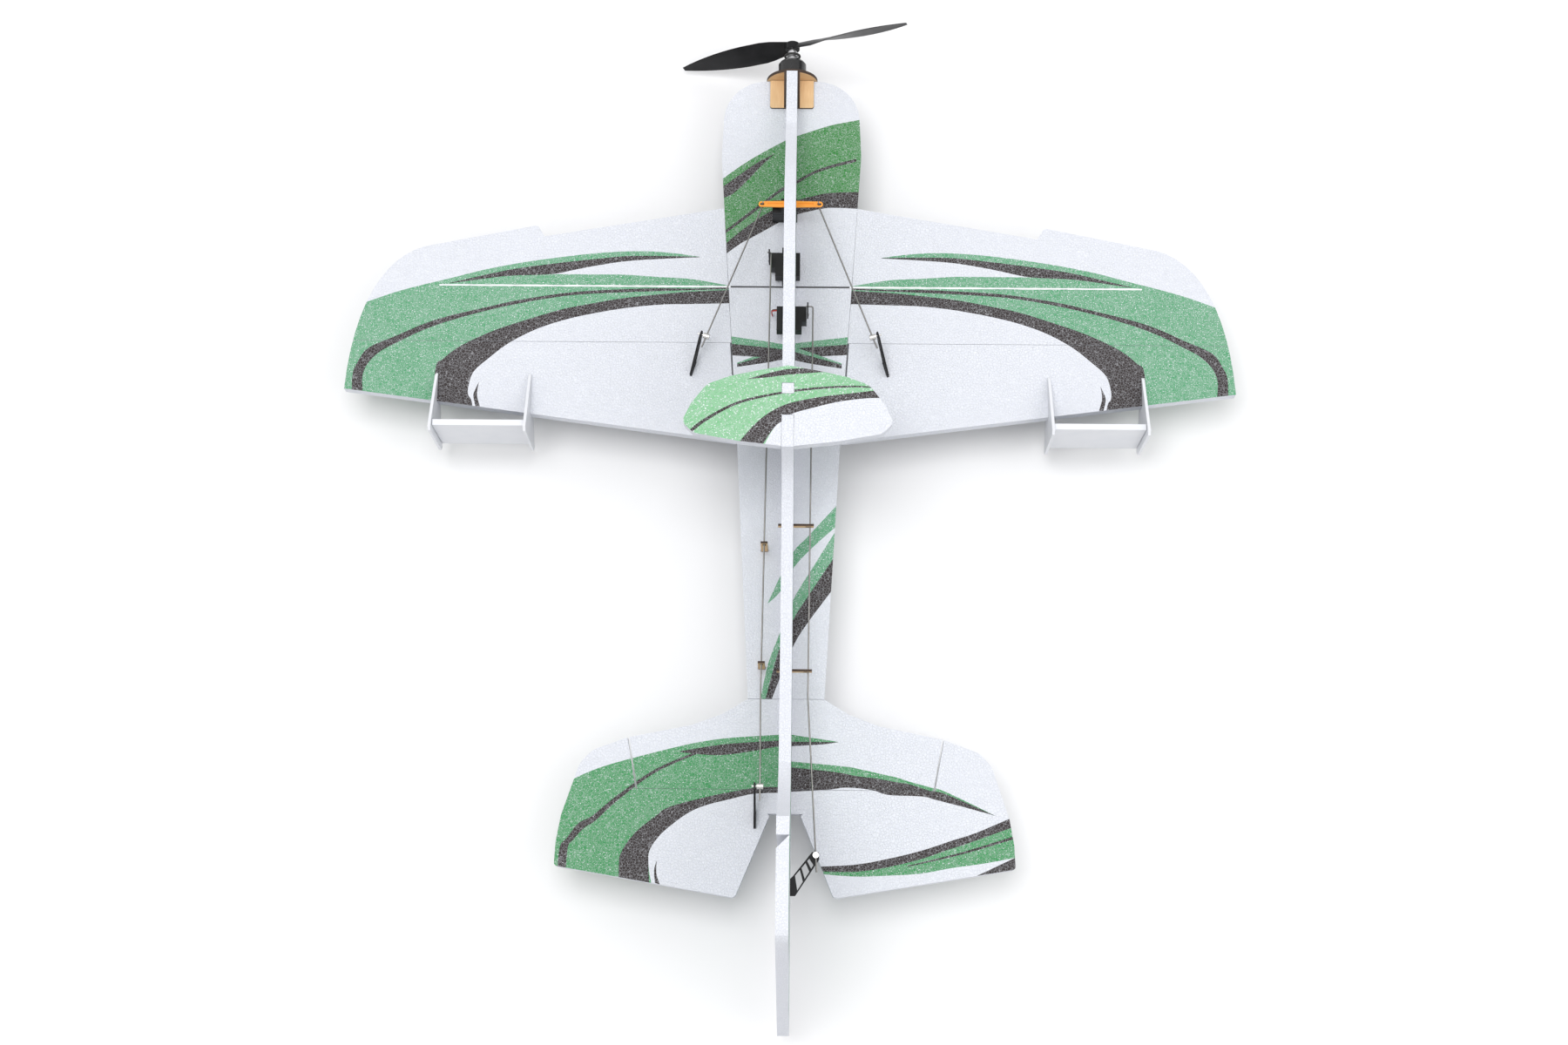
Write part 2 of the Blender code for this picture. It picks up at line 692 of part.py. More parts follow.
def servo_window(shaft_y, shaft_z):
    """Window for a servo that lies along the plate with its shaft end forward."""
    front = shaft_y + SERVO_SHAFT_FROM_END + SERVO_ROOM
    rear = shaft_y + SERVO_SHAFT_FROM_END - SERVO_LENGTH - SERVO_ROOM
    half = SERVO_WIDTH / 2 + SERVO_ROOM
    return rectangle(rear, shaft_z - half, front, shaft_z + half)


def fuselage_side_upper():
    hinge = RUDDER_HINGE_Y + GAP / 2
    tab_top = CANOPY_TOP + GAP + FOAM
    tab_rear = FRONT_TAB_Y - FRONT_TAB_LENGTH
    window_front = ELEVATOR_HINGE_Y + 0.0015
    window_rear = ELEVATOR_HINGE_Y - JOINER_DEPTH - JOINER_WINDOW_ROOM
    servo_notch = SERVO_WIDTH / 2 + SERVO_ROOM
    notch_top = AILERON_ARM_Z + ARM_THICK + 0.003
    top = [(NOSE_Y, GAP), (NOSE_Y, NOSE_TOP), (SCREEN_FOOT_Y, SCREEN_FOOT_Z)]
    screen_bow = ((SCREEN_FOOT_Y - 0.035, 0.044), (CANOPY_FRONT_Y + 0.040, 0.094))
    top += bezier(top[-1], *screen_bow, (CANOPY_FRONT_Y, CANOPY_TOP - 0.003), 8)
    top += [(CANOPY_FRONT_Y - 0.045, CANOPY_TOP), (FRONT_TAB_Y, CANOPY_TOP), (FRONT_TAB_Y, tab_top)]
    top += [(tab_rear, tab_top), (tab_rear, CANOPY_TOP), (REAR_TAB_Y, CANOPY_TOP)]
    top += [(REAR_TAB_Y, tab_top), (CANALYSER_TE_Y, tab_top)]
    rear_bow = ((CANALYSER_TE_Y - 0.004, 0.075), (DECK_FRONT_Y + 0.035, DECK_LOW))
    top += bezier(top[-1], *rear_bow, (DECK_FRONT_Y, DECK_LOW), 8)
    deck_bow = ((-0.32, DECK_LOW), (-0.39, DECK_LOW + 0.009))
    top += bezier(top[-1], *deck_bow, (FIN_FOOT_Y, FIN_FOOT_Z), 5)
    fin_bow = ((FIN_FOOT_Y - 0.020, FIN_FOOT_Z + 0.008), (FIN_TOP_FRONT_Y + 0.012, FIN_TOP - 0.055))
    top += bezier(top[-1], *fin_bow, (FIN_TOP_FRONT_Y, FIN_TOP), 8)
    bottom = [(hinge, FIN_TOP), (hinge, -HALF_FOAM + GAP / 2), (window_rear, -HALF_FOAM + GAP / 2)]
    bottom += [(window_rear, JOINER_WINDOW_UP), (window_front, JOINER_WINDOW_UP), (window_front, GAP)]
    notch_rear, notch_front = AILERON_SERVO_Y - servo_notch, AILERON_SERVO_Y + servo_notch
    bottom += [(notch_rear, GAP), (notch_rear, notch_top), (notch_front, notch_top), (notch_front, GAP)]
    holes = [servo_window(ELEVATOR_SERVO_Y, ELEVATOR_SERVO_Z), servo_window(RUDDER_SERVO_Y, RUDDER_SERVO_Z)]
    holes += [slit(place.y, place.z, GUIDE_SHEET, GUIDE_WIDTH) for place in guide_strip_places()]
    shape = sheet(top + bottom, holes, -HALF_FOAM, HALF_FOAM, upright)
    made = piece("fuselage_side_upper", shape, FOAM_WHITE)
    # Shallow pocket that lets the rudder servo's lugs sink into the right face
    middle = RUDDER_SERVO_Y + SERVO_SHAFT_FROM_END - SERVO_LENGTH / 2
    reach = SERVO_LUG_LENGTH / 2 + GAP
    half = SERVO_WIDTH / 2 + GAP
    low = (HALF_FOAM - RUDDER_SERVO_INSET, middle - reach, RUDDER_SERVO_Z - half)
    high = (HALF_FOAM + RUDDER_SERVO_INSET + 0.002, middle + reach, RUDDER_SERVO_Z + half)
    boolean(made, tool("servo_pocket_cutter", box(low, high)))


def fuselage_side_lower():
    hinge = RUDDER_HINGE_Y + GAP / 2
    top = -FOAM - GAP
    window_front = ELEVATOR_HINGE_Y + 0.0015
    window_rear = ELEVATOR_HINGE_Y - JOINER_DEPTH - JOINER_WINDOW_ROOM
    seam = -HALF_FOAM - GAP / 2
    outline = [(NOSE_Y, top), (window_front, top), (window_front, JOINER_WINDOW_DOWN)]
    outline += [(window_rear, JOINER_WINDOW_DOWN), (window_rear, seam), (hinge, seam), (hinge, RUDDER_BOTTOM)]
    tail_bow = ((-0.40, -0.050), (-0.22, -BELLY_DEPTH))
    outline += bezier(outline[-1], *tail_bow, (BELLY_REAR_Y, -BELLY_DEPTH), 10)
    nose_bow = ((BELLY_FRONT_Y + 0.045, -BELLY_DEPTH), (NOSE_Y - 0.018, NOSE_BOTTOM - 0.024))
    outline += [(BELLY_FRONT_Y, -BELLY_DEPTH)]
    outline += bezier(outline[-1], *nose_bow, (NOSE_Y, NOSE_BOTTOM), 8)
    outline.reverse()
    holes = []
    for z in strap_levels():
        low, high = z - STRAP_THICK / 2 - GAP, z + STRAP_THICK / 2 + GAP
        half = STRAP_WIDTH / 2 + GAP
        holes.append(rectangle(BATTERY_Y - half, low, BATTERY_Y + half, high))
    piece("fuselage_side_lower", sheet(outline, holes, -HALF_FOAM, HALF_FOAM, upright), FOAM_WHITE)


def rudder():
    hinge = RUDDER_HINGE_Y - GAP / 2
    outline = [
        (hinge, RUDDER_BOTTOM),
        (hinge, FIN_TOP),
        (RUDDER_TOP_REAR_Y, FIN_TOP + 0.004),
        (RUDDER_BOTTOM_REAR_Y, RUDDER_BOTTOM + 0.012),
        (RUDDER_BOTTOM_REAR_Y + 0.004, RUDDER_BOTTOM),
    ]
    outline = rounded(outline, [0, 0, 0.014, 0.006, 0.003], 4)
    base_x = HORN_REACH
    half = HORN_SHEET / 2 + GAP
    slot_rear, slot_front = RUDDER_HINGE_Y - base_x - GAP, RUDDER_HINGE_Y - HORN_FOOT_FRONT
    slot = rectangle(slot_rear, RUDDER_ROD_Z - half, slot_front, RUDDER_ROD_Z + half)

    def back(u, v):
        return (u - FOAM, v) if u > hinge - 1e-6 else (u, v)

    piece("rudder", sheet(outline, [slot], -HALF_FOAM, HALF_FOAM, upright, back), FOAM_WHITE, "rudder")


# ---------------------------------------------------------------- air brakes


def air_brakes():
    """Two thin side plates and a cross panel behind each aileron's trailing edge."""
    for side, sign in SIDES:
        body = "aileron_" + side
        for name, centre in zip(("inner", "outer"), BRAKE_CENTRES):
            edge = wing_trailing_y(centre + BRAKE_SHEET) - 2 * GAP
            outline = [(BRAKE_FRONT_Y, GAP), (BRAKE_FRONT_Y - 0.003, 0.0035)]
            outline += [(BRAKE_REAR_Y + 0.004, BRAKE_UP), (BRAKE_REAR_Y, BRAKE_UP - 0.003)]
            outline += [(BRAKE_REAR_Y, -BRAKE_DOWN + 0.003), (BRAKE_REAR_Y + 0.004, -BRAKE_DOWN)]
            outline += [(BRAKE_FRONT_Y - 0.018, -FOAM - 0.0045), (BRAKE_FRONT_Y - 0.015, -FOAM - GAP)]
            outline += [(edge, -FOAM - GAP), (edge, GAP)]
            middle = sign * centre
            shape = sheet(outline, [], middle - BRAKE_SHEET / 2, middle + BRAKE_SHEET / 2, upright)
            piece(f"brake_{side}_{name}", shape, WHITE_PLASTIC, body)
        inner, outer = (c + s * (BRAKE_SHEET / 2 + GAP) for c, s in zip(BRAKE_CENTRES, (1, -1)))
        rear = BRAKE_PANEL_Y - BRAKE_PANEL_THICK
        outline = rectangle(inner, -BRAKE_PANEL_DOWN, outer, BRAKE_PANEL_UP)
        outline = [(sign * x, z) for x, z in outline]
        piece(f"brake_{side}_panel", sheet(outline, [], rear, BRAKE_PANEL_Y, crosswise), WHITE_PLASTIC, body)


# ---------------------------------------------------------------- motor and propeller


def motor_mount():
    firewall_y = NOSE_Y + GAP
    profile = [(0, FIREWALL_RADIUS), (FIREWALL_THICK, FIREWALL_RADIUS)]
    piece("motor_firewall", turned(profile, (0, firewall_y, THRUST_Z), (0, 1, 0), 40), PLYWOOD)
    for side, sign in SIDES:
        near = sign * (HALF_FOAM + GAP)
        far = near + sign * MOUNT_PLATE_WIDTH
        rear = NOSE_Y - MOUNT_PLATE_LENGTH
        outline = [(near, NOSE_Y), (far, NOSE_Y), (far, rear), (near, rear)]
        outline = rounded(outline, [0, 0, 0.002, 0], 3)
        piece("mount_plate_" + side, sheet(outline, [], GAP, GAP + PLY, level), PLYWOOD)
        foot = 2 * GAP + PLY
        cheek = [(NOSE_Y, foot), (NOSE_Y, foot + CHEEK_HEIGHT), (NOSE_Y - 0.010, foot + CHEEK_HEIGHT)]
        cheek += [(rear, foot + 0.004), (rear, foot)]
        levels = sorted((near, near + sign * PLY))
        piece("mount_cheek_" + side, sheet(cheek, [], *levels, upright), PLYWOOD)


def motor():
    front = NOSE_Y + GAP + FIREWALL_THICK + GAP
    base = [(0, MOTOR_RADIUS * 0.72), (0.0012, MOTOR_RADIUS * 0.72), (0.0016, MOTOR_RADIUS * 0.55)]
    base += [(MOTOR_BASE_LENGTH - GAP, MOTOR_RADIUS * 0.55)]
    piece("motor_base", turned(base, (0, front, THRUST_Z), (0, 1, 0), 32), ALUMINIUM)
    for side, sign in SIDES:
        place = (sign * (MOTOR_RADIUS + 0.0035), front, THRUST_Z)
        head = [(0, 0.0024), (0.0010, 0.0024), (0.0016, 0.0016)]
        piece("motor_screw_" + side, turned(head, place, (0, 1, 0), 16), STEEL)
    start = front + MOTOR_BASE_LENGTH
    bell = [(0, MOTOR_RADIUS - 0.0006), (0.0006, MOTOR_RADIUS), (BELL_LENGTH - 0.003, MOTOR_RADIUS)]
    bell += [(BELL_LENGTH - 0.0008, MOTOR_RADIUS - 0.0016), (BELL_LENGTH, MOTOR_RADIUS - 0.0045)]
    piece("motor_bell", turned(bell, (0, start, THRUST_Z), (0, 1, 0), 36), MOTOR_BLACK, "propeller")
    shaft_start = start + BELL_LENGTH + GAP
    saver_start = shaft_start + 0.002
    shaft = [(0, SHAFT_RADIUS), (saver_start - GAP - shaft_start, SHAFT_RADIUS)]
    piece("motor_shaft", turned(shaft, (0, shaft_start, THRUST_Z), (0, 1, 0), 16), STEEL, "propeller")
    saver = [(0, SAVER_RADIUS - 0.0005), (0.0005, SAVER_RADIUS), (SAVER_LENGTH - 0.002, SAVER_RADIUS)]
    saver += [(SAVER_LENGTH - 0.002, SAVER_RADIUS - 0.0008), (SAVER_LENGTH, SAVER_RADIUS - 0.0008)]
    hub_shape = turned(saver, (0, saver_start, THRUST_Z), (0, 1, 0), 24)
    hub = piece("prop_saver", hub_shape, ALUMINIUM, "propeller")
    for name, sign in (("left", -1), ("right", 1)):
        across = Vector((0, saver_start + SAVER_LENGTH * 0.4, THRUST_Z))
        reach = RING_RADIUS - RING_WIRE - GAP
        post = turned([(0.001, 0.0011), (reach, 0.0011)], across, (sign, 0, 0), 12)
        boolean(hub, tool(f"saver_post_{name}", post, "propeller"), "UNION")
    ring_y = saver_start + SAVER_LENGTH * 0.4
    ring = ring_solid((0, ring_y, THRUST_Z), (0, 1, 0), RING_RADIUS, RING_WIRE)
    piece("saver_o_ring", ring, RUBBER, "propeller")
    return saver_start + SAVER_LENGTH + GAP


def blade_section(reach):
    """Corners of a blade's section this far from the axis, before the pitch turn: (chord, thickness)."""
    share = reach / PROPELLER_RADIUS
    if share > 0.45:
        fall = (share - 0.45) / 0.55
        chord = BLADE_CHORD * (1 - fall**2.2 * 0.80)
    elif share > 0.25:
        chord = between(share, 0.25, BLADE_CHORD * 0.86, 0.45, BLADE_CHORD)
    else:
        chord = between(share, 0.0, BLADE_ROOT_CHORD, 0.25, BLADE_CHORD * 0.86)
    thick = BLADE_THICK * (1.7 - 1.0 * share)
    section = []
    for i in range(12):
        angle = 2 * math.pi * i / 12
        along = math.cos(angle)
        section.append((chord / 2 * along, thick / 2 * math.sin(angle) + thick * 0.5 * (1 - along * along)))
    return section


def blade(sign, hub_middle):
    made = bmesh.new()
    rings = []
    for i in range(13):
        reach = between(i, 0, PROPELLER_HUB_RADIUS * 0.35, 12, PROPELLER_RADIUS)
        pitch = math.atan2(PROPELLER_PITCH, 2 * math.pi * max(reach, 0.2 * PROPELLER_RADIUS))
        ring = []
        for chord_way, thick_way in blade_section(reach):
            rise = chord_way * math.cos(pitch) + thick_way * math.sin(pitch)
            ahead = thick_way * math.cos(pitch) - chord_way * math.sin(pitch)
            ring.append(made.verts.new((sign * reach, hub_middle + ahead, THRUST_Z + sign * rise)))
        rings.append(ring)
    skin(made, rings)
    return made


def propeller(start):
    middle = start + PROPELLER_HUB_LENGTH / 2
    profile = [(0, PROPELLER_HUB_RADIUS - 0.0006), (0.0006, PROPELLER_HUB_RADIUS)]
    profile += [(PROPELLER_HUB_LENGTH - 0.0006, PROPELLER_HUB_RADIUS)]
    profile += [(PROPELLER_HUB_LENGTH, PROPELLER_HUB_RADIUS - 0.0006)]
    hub = turned(profile, (0, start, THRUST_Z), (0, 1, 0), 32)
    spin = Matrix.Translation((0, 0, THRUST_Z)) @ Matrix.Rotation(-PROPELLER_REST_TURN, 4, "Y")
    spin = spin @ Matrix.Translation((0, 0, -THRUST_Z))
    made = piece("propeller", hub, BLACK_PLASTIC, "propeller")
    for name, sign in (("left", -1), ("right", 1)):
        shape = blade(sign, middle)
        bmesh.ops.transform(shape, matrix=spin, verts=shape.verts)
        boolean(made, tool(f"propeller_blade_{name}", shape, "propeller"), "UNION")


# ---------------------------------------------------------------- servos and arms


def servo_side():
    """A servo seen along its width: u runs back from the shaft, v up from the underside of its lugs."""
    front = SERVO_SHAFT_FROM_END
    rear = front - SERVO_LENGTH
    lug = (SERVO_LUG_LENGTH - SERVO_LENGTH) / 2
    top = SERVO_HEIGHT - SERVO_BELOW_LUG
    case_top = top + SERVO_CASE_HEIGHT
    return [
        (front, -SERVO_BELOW_LUG),
        (front, 0),
        (front + lug, 0),
        (front + lug, SERVO_LUG_THICK),
        (front, SERVO_LUG_THICK),
        (front, case_top),
        (front - SERVO_CASE_LENGTH, case_top),
        (front - SERVO_CASE_LENGTH, top),
        (rear, top),
        (rear, SERVO_LUG_THICK),
        (rear - lug, SERVO_LUG_THICK),
        (rear - lug, 0),
        (rear, 0),
        (rear, -SERVO_BELOW_LUG),
    ]


def servos():
    half = SERVO_WIDTH / 2

    def on_left(u, v, w):
        return Vector((-(HALF_FOAM + GAP) - v, ELEVATOR_SERVO_Y + u, ELEVATOR_SERVO_Z + w))

    def on_right(u, v, w):
        return Vector((HALF_FOAM + GAP - RUDDER_SERVO_INSET + v, RUDDER_SERVO_Y + u, RUDDER_SERVO_Z + w))

    def standing(u, v, w):
        return Vector((u, AILERON_SERVO_Y + w, GAP + SERVO_BELOW_LUG + v))

    piece("servo_elevator", sheet(servo_side(), [], -half, half, on_left), BLACK_PLASTIC)
    piece("servo_rudder", sheet(servo_side(), [], -half, half, on_right), BLACK_PLASTIC)
    without_lugs = [point for i, point in enumerate(servo_side()) if i not in (1, 2, 3, 4, 9, 10, 11, 12)]
    piece("servo_aileron", sheet(without_lugs, [], -half, half, standing), BLACK_PLASTIC)


def double_arm():
    """Two-ended arm on the upright aileron servo, with a slot near each end."""
    end, half = AILERON_ARM_END, AILERON_ARM_WIDTH / 2
    right = [(0, half), (end, half * 0.78), (end, -half * 0.78), (0, -half)]
    outline = right + [(-x, y) for x, y in reversed(right) if x > 0]
    corner = 0.0023
    radii = [0, corner, corner, 0, corner, corner]
    outline = rounded([(x, AILERON_SERVO_Y + y) for x, y in outline], radii, 3)
    near = AILERON_ARM_RADIUS - ROD_DIAMETER / 2 - GAP
    far = AILERON_ARM_RADIUS + ROD_DIAMETER / 2 + AILERON_SLOT_OUT - GAP
    slot_half = ARM_SLOT_WIDTH / 2
    slots = []
    for _, sign in SIDES:
        inner, outer = sorted((sign * near, sign * far))
        slots.append(oblong(inner, AILERON_SERVO_Y - slot_half, outer, AILERON_SERVO_Y + slot_half))
    shape = sheet(outline, slots, AILERON_ARM_Z, AILERON_ARM_Z + ARM_THICK, level)
    piece("arm_aileron", shape, ORANGE_PLASTIC, "arm_aileron")


def single_arm(name, centre_y, centre_z, levels, slot_out):
    """Arm that stands up from its shaft, with a slot near its end."""
    slot_far = TAIL_ARM_RADIUS + ROD_DIAMETER / 2 + slot_out
    near = TAIL_ARM_RADIUS - ROD_DIAMETER / 2 - GAP
    tip = slot_far + 0.0014
    half = TAIL_ARM_WIDTH / 2
    outline = arc((centre_y, centre_z), ARM_HUB_RADIUS, 155, 385, 12)
    outline += rounded(
        [(centre_y + half, centre_z + tip), (centre_y - half, centre_z + tip), outline[0], outline[-1]],
        [0.0018, 0.0018, 0, 0],
        3,
    )[:-2]
    slot_half = ARM_SLOT_WIDTH / 2
    slot = oblong(centre_y - slot_half, centre_z + near, centre_y + slot_half, centre_z + slot_far)
    piece(name, sheet(outline, [slot], *levels, upright), BLACK_PLASTIC, name)


def tail_arms():
    elevator_levels = (ELEVATOR_ARM_X - ARM_THICK, ELEVATOR_ARM_X)
    single_arm("arm_elevator", ELEVATOR_SERVO_Y, ELEVATOR_SERVO_Z, elevator_levels, 2 * GAP)
    rudder_levels = (RUDDER_ARM_X, RUDDER_ARM_X + ARM_THICK)
    single_arm("arm_rudder", RUDDER_SERVO_Y, RUDDER_SERVO_Z, rudder_levels, RUDDER_SLOT_OUT)


# ---------------------------------------------------------------- horns, rods, stoppers and guides


def horn_side():
    """Ladder-shaped horn, outline and windows: u runs forward from the tip hole, v up from the surface."""
    tip = HORN_HEIGHT
    foot = -FOAM + GAP
    rear = -HORN_REACH
    front = -HORN_FOOT_FRONT - GAP
    outline = [(rear, foot), (front, foot), (front, GAP), (front + 0.0020, GAP + 0.0020)]
    outline += [(0.0030, tip - 0.0030), (0.0030, tip + 0.0024), (-0.0030, tip + 0.0030)]
    outline += [(rear, GAP + 0.0040)]
    windows = []
    rail = 0.0016
    lower_start, lower_end = Vector(outline[3]), Vector(outline[4])
    upper_start, upper_end = Vector(outline[7]), Vector(outline[6])
    for first, last in ((0.10, 0.34), (0.42, 0.62), (0.70, 0.80)):
        corners = []
        for share, to_upper in ((first, False), (last, False), (last, True), (first, True)):
            low_point = lower_start.lerp(lower_end, share)
            high_point = upper_start.lerp(upper_end, share)
            way = (high_point - low_point).normalized() * rail
            corners.append(tuple(high_point - way if to_upper else low_point + way))
        windows.append(corners)
    hole = arc((0, tip), HORN_HOLE / 2, 0, 324, 9)
    return outline, windows + [hole]


def horns():
    outline, holes = horn_side()
    half = HORN_SHEET / 2
    for side, sign in SIDES:
        turn = Matrix.Rotation(sign * AILERON_HORN_YAW, 3, "Z")
        foot = Vector((sign * AILERON_HORN_X, AILERON_HINGE_Y, 0))

        def on_aileron(u, v, w):
            return foot + turn @ Vector((w, u, v))

        shape = sheet(outline, holes, -half, half, on_aileron)
        piece("horn_aileron_" + side, shape, BLACK_PLASTIC, "aileron_" + side)

    def on_elevator(u, v, w):
        return Vector((ELEVATOR_HORN_X + w, ELEVATOR_HINGE_Y + u, v))

    def on_rudder(u, v, w):
        return Vector((HALF_FOAM + v, RUDDER_HINGE_Y + u, RUDDER_ROD_Z + w))

    piece("horn_elevator", sheet(outline, holes, -half, half, on_elevator), BLACK_PLASTIC, "elevator")
    piece("horn_rudder", sheet(outline, holes, -half, half, on_rudder), BLACK_PLASTIC, "rudder")


PIN_ROOM = {"aileron_left": 0.0006, "aileron_right": 0.0006}


def rod_and_stopper(name, route, tip, pin_way, extra):
    """A pushrod whose route ends beside a horn's tip hole, and the stopper whose pin turns in that hole.

    The rod passes through the stopper's barrel, beside the horn on the side that pin_way points away from."""
    body = "pushrod_" + name
    pin_way = Vector(pin_way).normalized()
    seat = Vector(tip) - pin_way * (HORN_SHEET / 2 + 3 * GAP + STOPPER_LENGTH / 2 + PIN_ROOM.get(name, 0))
    last = Vector(route[-1])
    ahead = (seat - last).normalized()
    path = bent([*route, seat + ahead * extra], 0.0022)
    piece(body, wire(path, ROD_DIAMETER), STEEL, body)
    barrel_start = -STOPPER_LENGTH / 2
    barrel_end = STOPPER_LENGTH / 2
    pin_end = barrel_end + HORN_SHEET + 6 * GAP + 2 * PIN_ROOM.get(name, 0) + 0.0008
    profile = [(barrel_start, STOPPER_DIAMETER / 2), (barrel_end, STOPPER_DIAMETER / 2)]
    profile += [(barrel_end, STOPPER_PIN / 2), (pin_end, STOPPER_PIN / 2)]
    stopper = piece("stopper_" + name, turned(profile, seat, pin_way, 20), STEEL, body)
    bore = wire([seat - ahead * 0.006, seat, seat + ahead * 0.006], ROD_DIAMETER + 2 * GAP, 10)
    boolean(stopper, tool("stopper_bore_" + name, bore, body))


def pushrods():
    bend_top = AILERON_ARM_Z + ARM_THICK + 0.0042
    for side, sign in SIDES:
        start = (sign * AILERON_ARM_RADIUS, AILERON_SERVO_Y, AILERON_ROD_Z)
        route = [(start[0], start[1], bend_top), start]
        tip = (sign * AILERON_HORN_X, AILERON_HINGE_Y, HORN_HEIGHT)
        way = (sign * math.cos(AILERON_HORN_YAW), math.sin(AILERON_HORN_YAW), 0)
        rod_and_stopper("aileron_" + side, route, tip, way, 0.011)
    bend_end = (ELEVATOR_ARM_X - ARM_THICK - 0.0010, ELEVATOR_SERVO_Y, ELEVATOR_ROD_Z)
    tip = (ELEVATOR_HORN_X, ELEVATOR_HINGE_Y, HORN_HEIGHT)
    rod_and_stopper("elevator", [bend_end, ELEVATOR_ROD_START, ELEVATOR_ROD_KINK], tip, (-1, 0, 0), 0.012)
    bend_end = (RUDDER_ARM_X - 0.0010, RUDDER_SERVO_Y, RUDDER_ROD_Z)
    tip = (RUDDER_HORN_X, RUDDER_HINGE_Y, RUDDER_ROD_Z)
    rod_and_stopper("rudder", [bend_end, RUDDER_ROD_START, RUDDER_ROD_KINK], tip, (0, 0, -1), 0.014)


def guides():
    """Ply posts on the flat plate on the left, and ply strips through the upright plate on the right."""
    for i, place in enumerate(guide_post_places()):
        half = GUIDE_WIDTH / 2
        outline = rectangle(place.x - half, -FOAM + GAP, place.x + half, place.z + 0.0030)
        slot_half = GUIDE_SLOT_WIDTH / 2 + GAP
        slot = oblong(place.x - slot_half, place.z - 0.0056, place.x + slot_half, place.z + 0.0012)
        levels = (place.y - GUIDE_SHEET / 2, place.y + GUIDE_SHEET / 2)
        piece(f"rod_guide_elevator_{i + 1}", sheet(outline, [slot], *levels, crosswise), PLYWOOD)
    for i, place in enumerate(guide_strip_places()):
        half = GUIDE_WIDTH / 2
        outline = rectangle(-HALF_FOAM - 0.003, place.z - half, place.x + 0.0032, place.z + half)
        slot_half = GUIDE_SLOT_WIDTH / 2 + GAP
        slot = oblong(place.x - 0.0042, place.z - slot_half, place.x + 0.0012, place.z + slot_half)
        levels = (place.y - GUIDE_SHEET / 2, place.y + GUIDE_SHEET / 2)
        piece(f"rod_guide_rudder_{i + 1}", sheet(outline, [slot], *levels, crosswise), PLYWOOD)


# ---------------------------------------------------------------- radio gear and skid


def strap_levels():
    """Heights of the strap's two runs through the lower upright plate."""
    above = BATTERY_TOP + GAP + STRAP_THICK / 2
    below = BATTERY_TOP - BATTERY_SIZE[2] - GAP - STRAP_THICK / 2
    return below, above


def radio_gear():
    near = HALF_FOAM + GAP
    width, length, height = BATTERY_SIZE
    low = (near, BATTERY_Y - length / 2, BATTERY_TOP - height)
    piece("battery", box(low, (near + width, BATTERY_Y + length / 2, BATTERY_TOP)), BATTERY_WRAP)
    below, above = strap_levels()
    half = STRAP_THICK / 2
    inner = rectangle(-near, below + half, near + width + GAP, above - half)
    outer = rectangle(-near - STRAP_THICK, below - half, near + width + GAP + STRAP_THICK, above + half)
    levels = (BATTERY_Y - STRAP_WIDTH / 2, BATTERY_Y + STRAP_WIDTH / 2)
    piece("battery_strap", sheet(outer, [inner], *levels, crosswise), STRAP_FABRIC)
    for name, size, centre_y, finish in (
        ("speed_controller", SPEED_CONTROLLER_SIZE, SPEED_CONTROLLER_Y, BLACK_PLASTIC),
        ("receiver", RECEIVER_SIZE, RECEIVER_Y, BLACK_PLASTIC),
    ):
        width, length, height = size
        top = BATTERY_TOP - 0.004
        low = (-near - width, centre_y - length / 2, top - height)
        piece(name, box(low, (-near, centre_y + length / 2, top)), finish)


def tail_skid():
    y = RUDDER_BOTTOM_REAR_Y + 0.010
    profile = [(0, 0.0016), (0.0062, 0.0016), (0.0075, 0.0010)]
    place = (0, y, RUDDER_BOTTOM - GAP)
    piece("tail_skid", turned(profile, place, (0, 0, -1), 14), BLACK_PLASTIC, "rudder")


# ---------------------------------------------------------------- the aeroplane

plates = [fuselage_plate(), *wing_panels()]
spar_and_groove(plates)
ailerons()
tailplane()
elevator()
canalyser()
fuselage_side_upper()
fuselage_side_lower()
rudder()
air_brakes()
motor_mount()
propeller(motor())
servos()
double_arm()
tail_arms()
horns()
pushrods()
guides()
radio_gear()
tail_skid()
bpy.context.view_layer.update()
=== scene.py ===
import bpy, bmesh, json, math, random
from mathutils import Vector, Matrix, Euler
from mathutils.geometry import delaunay_2d_cdt


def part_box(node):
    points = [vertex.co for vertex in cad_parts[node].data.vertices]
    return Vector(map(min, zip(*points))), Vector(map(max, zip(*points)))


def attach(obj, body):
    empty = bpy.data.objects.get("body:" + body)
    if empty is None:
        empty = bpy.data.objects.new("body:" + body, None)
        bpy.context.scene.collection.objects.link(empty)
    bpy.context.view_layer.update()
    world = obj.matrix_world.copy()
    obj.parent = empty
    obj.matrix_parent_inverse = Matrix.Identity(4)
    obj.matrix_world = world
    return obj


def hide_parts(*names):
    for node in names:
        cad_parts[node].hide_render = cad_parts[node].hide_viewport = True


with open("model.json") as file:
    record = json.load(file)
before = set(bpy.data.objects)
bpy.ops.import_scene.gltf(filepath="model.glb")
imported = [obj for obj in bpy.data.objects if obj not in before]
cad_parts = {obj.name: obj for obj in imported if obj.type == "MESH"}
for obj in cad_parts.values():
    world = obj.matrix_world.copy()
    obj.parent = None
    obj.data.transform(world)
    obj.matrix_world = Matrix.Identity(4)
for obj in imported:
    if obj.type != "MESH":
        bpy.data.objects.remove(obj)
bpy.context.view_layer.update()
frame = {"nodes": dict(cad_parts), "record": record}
nodes = frame["nodes"]
bodyOf = {n: b for b, ns in frame["record"]["behaviour"]["bodies"].items() for n in ns}
dice = random.Random(7)
mm = 0.001
near = 1e-5  # two points this close are the same point
hair = 1e-7  # thinner than this is nothing

